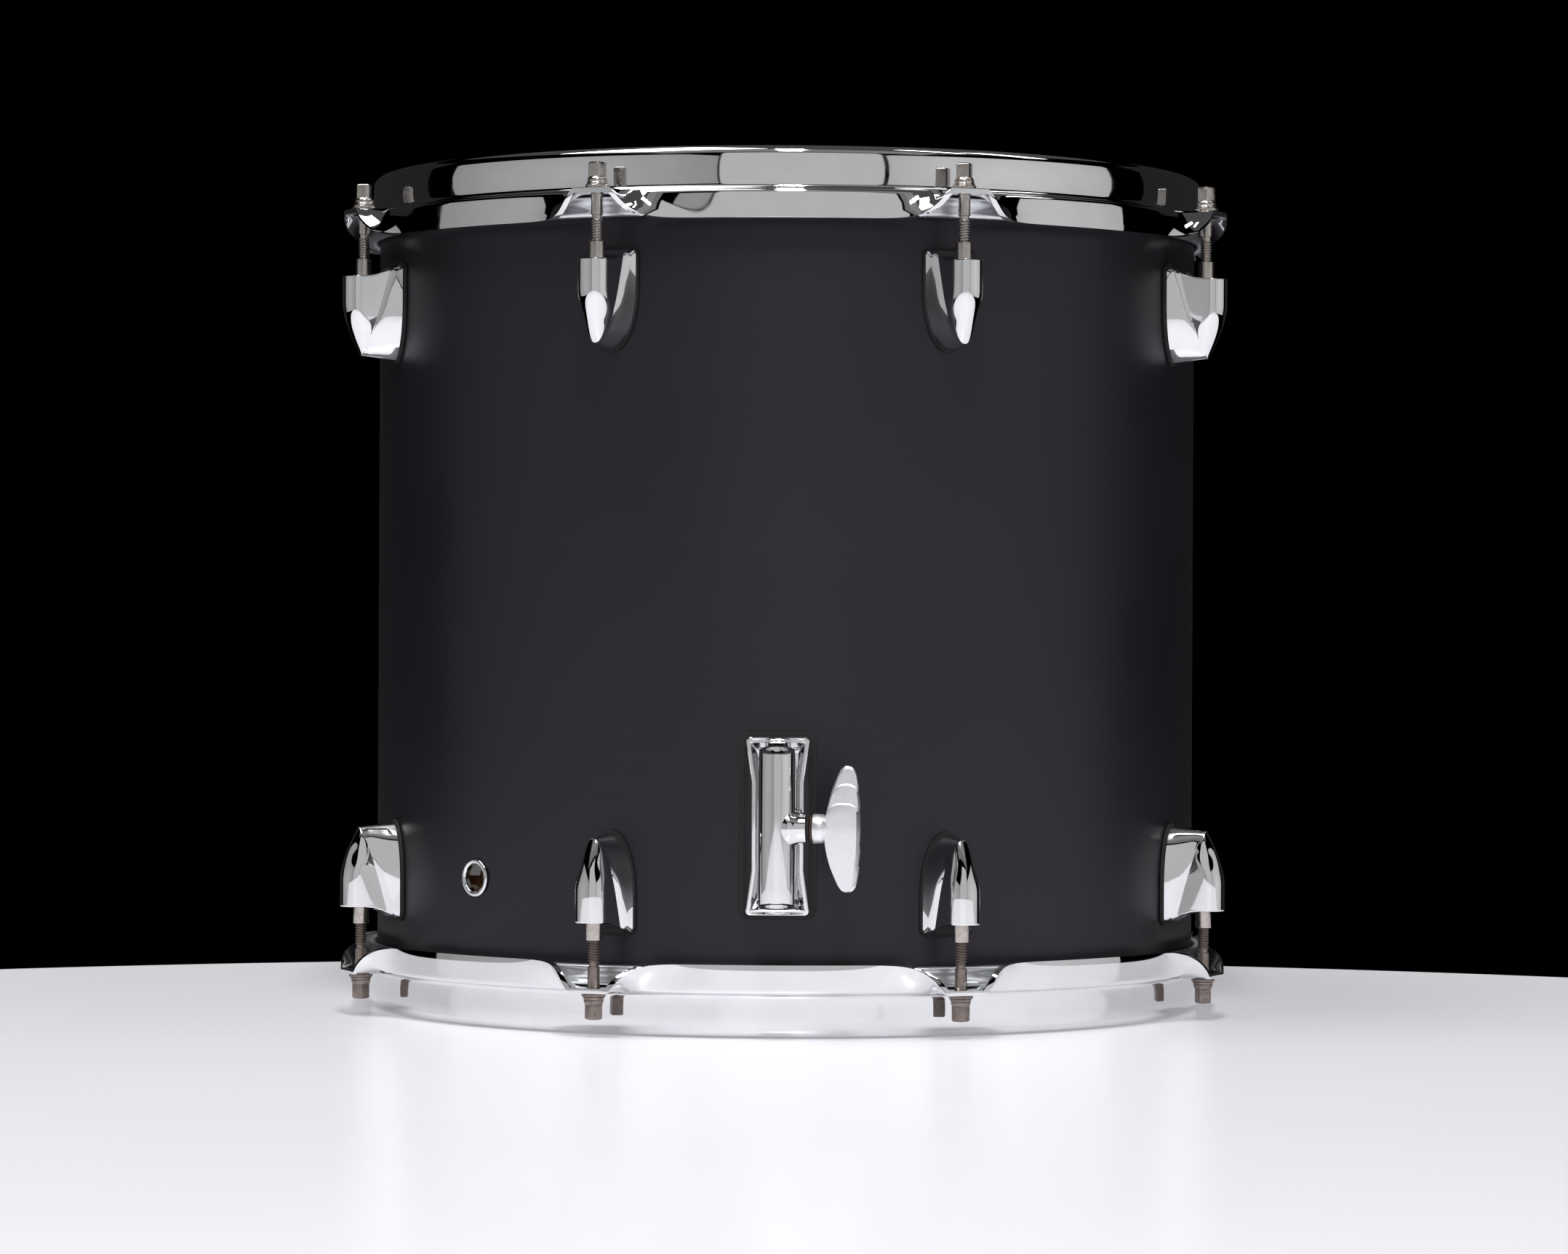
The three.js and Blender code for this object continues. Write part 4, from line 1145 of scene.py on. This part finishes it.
# White laminate: clouds of 20 cm that hardly show. It glows a little to the camera and in
# reflections, but its glow lights nothing.
table_top, tree, shader, place = new_material("white_laminate")
cloud = add_node(tree, "TexNoise", {"Vector": place, "Scale": 5, "Detail": 2})
tone = add_node(
    tree,
    "Mix",
    {"Factor": cloud.outputs[0], "A": colour("DCDBE0"), "B": colour("E2E1E6")},
    data_type="RGBA",
)
path = add_node(tree, "LightPath")
seen = add_node(tree, "Math", {0: path.outputs["Is Camera Ray"], 1: 0.26}, operation="MULTIPLY")
glow = add_node(
    tree,
    "Math",
    {0: path.outputs["Is Glossy Ray"], 1: 0.28, 2: seen.outputs[0]},
    operation="MULTIPLY_ADD",
)
set_inputs(shader, {
    "Base Color": tone.outputs["Result"], "Roughness": 0.25,
    "Emission Strength": glow.outputs[0], "Emission Color": colour("F4F3F8"),
})
table.data.materials.append(table_top)


def area_light(name, place, target, width, height, radiance, spread=180):
    """A rectangular lamp that faces a target; its power follows from its radiance."""
    data = bpy.data.lights.new(name, "AREA")
    data.shape = "RECTANGLE"
    data.size, data.size_y = width, height
    data.energy = radiance * math.pi * width * height
    data.spread = math.radians(spread)
    lamp = bpy.data.objects.new(name, data)
    bpy.context.scene.collection.objects.link(lamp)
    lamp.location = place
    lamp.rotation_euler = (Vector(target) - Vector(place)).to_track_quat("-Z", "Y").to_euler()


PANEL_DISTANCE = 3.2
PANEL_FOOT = -0.6
for name, azimuth, half_angle, height, radiance, spread in (
    ("left_panel", -59, 41.6, 2.2, 0.29, 140), ("middle_panel", 4.7, 21.4, 2.8, 0.6, 180),
    ("right_panel", 62.4, 35, 2.2, 0.42, 140), ("left_wall", -136, 24, 2.8, 0.02, 180),
    ("right_wall", 136, 24, 2.8, 0.02, 180),
):
    turn = math.radians(azimuth)
    middle = PANEL_FOOT + height / 2
    place = (PANEL_DISTANCE * math.sin(turn), -PANEL_DISTANCE * math.cos(turn), middle)
    width = 2 * PANEL_DISTANCE * math.tan(math.radians(half_angle))
    area_light(name, place, (0, 0, middle), width, height, radiance, spread)
area_light("ceiling", (0, -0.3, 3.4), (0, -0.3, 0), 6, 6, 0.08)
area_light("upper_panel", (0.1, -2.7, 3.1), (0, 0, 0), 5, 1.6, 0.2)
area_light("overhead_lamp", (-1.07, -0.65, 2.6), (-0.6, -0.5, 0), 1.4, 1.5, 5.5)
area_light("right_strip", (1.25, -0.65, 2.6), (0, 0, 0), 0.16, 0.9, 8)
area_light("right_lamp", (2.0, -0.25, 2.5), (0, 0, 0), 0.4, 1.1, 5)
area_light("front_strip", (0.05, -1.6, 2.5), (0, 0, 0), 0.26, 1.1, 62)

# Diffuse surfaces get a faint fill from all sides that neither the camera nor the chrome sees.
world = bpy.data.worlds.new("dark_studio")
bpy.context.scene.world = world
world.use_nodes = True
tree = world.node_tree
background = tree.nodes["Background"]
path = add_node(tree, "LightPath")
seen = path.outputs["Is Camera Ray"]
for ray in ("Is Glossy Ray", "Is Transmission Ray"):
    seen = add_node(tree, "Math", {0: seen, 1: path.outputs[ray]}, operation="MAXIMUM").outputs[0]
strength = add_node(tree, "MapRange", {"Value": seen, "To Min": 0.25, "To Max": 0})
set_inputs(background, {"Color": colour("FFFFFF"), "Strength": strength.outputs[0]})

# The camera stands a little to the right of the front and is rolled by a quarter of a degree. The
# photo's width, the focal length and the shift are in pixels, the distances in metres.
PHOTO_WIDTH, FOCAL_LENGTH, SHIFT = 2156, 6792, -7.6
CAMERA_DISTANCE, CAMERA_HEIGHT, AIM_OFFSET = 2.455, -0.01365, 0.0008
CAMERA_TURN, CAMERA_ROLL = math.radians(0.886), math.radians(0.26)
camera_data = bpy.data.cameras.new("camera")
camera_data.sensor_width = 36
camera_data.lens = camera_data.sensor_width * FOCAL_LENGTH / PHOTO_WIDTH
camera_data.shift_y = SHIFT / PHOTO_WIDTH
camera = bpy.data.objects.new("camera", camera_data)
bpy.context.scene.collection.objects.link(camera)
bpy.context.scene.camera = camera
camera.location = (
    CAMERA_DISTANCE * math.sin(CAMERA_TURN),
    -CAMERA_DISTANCE * math.cos(CAMERA_TURN),
    CAMERA_HEIGHT,
)
aim = CAMERA_TURN + math.atan(AIM_OFFSET / CAMERA_DISTANCE)
level = Matrix.Rotation(aim, 4, "Z") @ Matrix.Rotation(math.pi / 2, 4, "X")
camera.rotation_euler = (level @ Matrix.Rotation(CAMERA_ROLL, 4, "Z")).to_euler()

bpy.context.scene.view_settings.view_transform = "Standard"
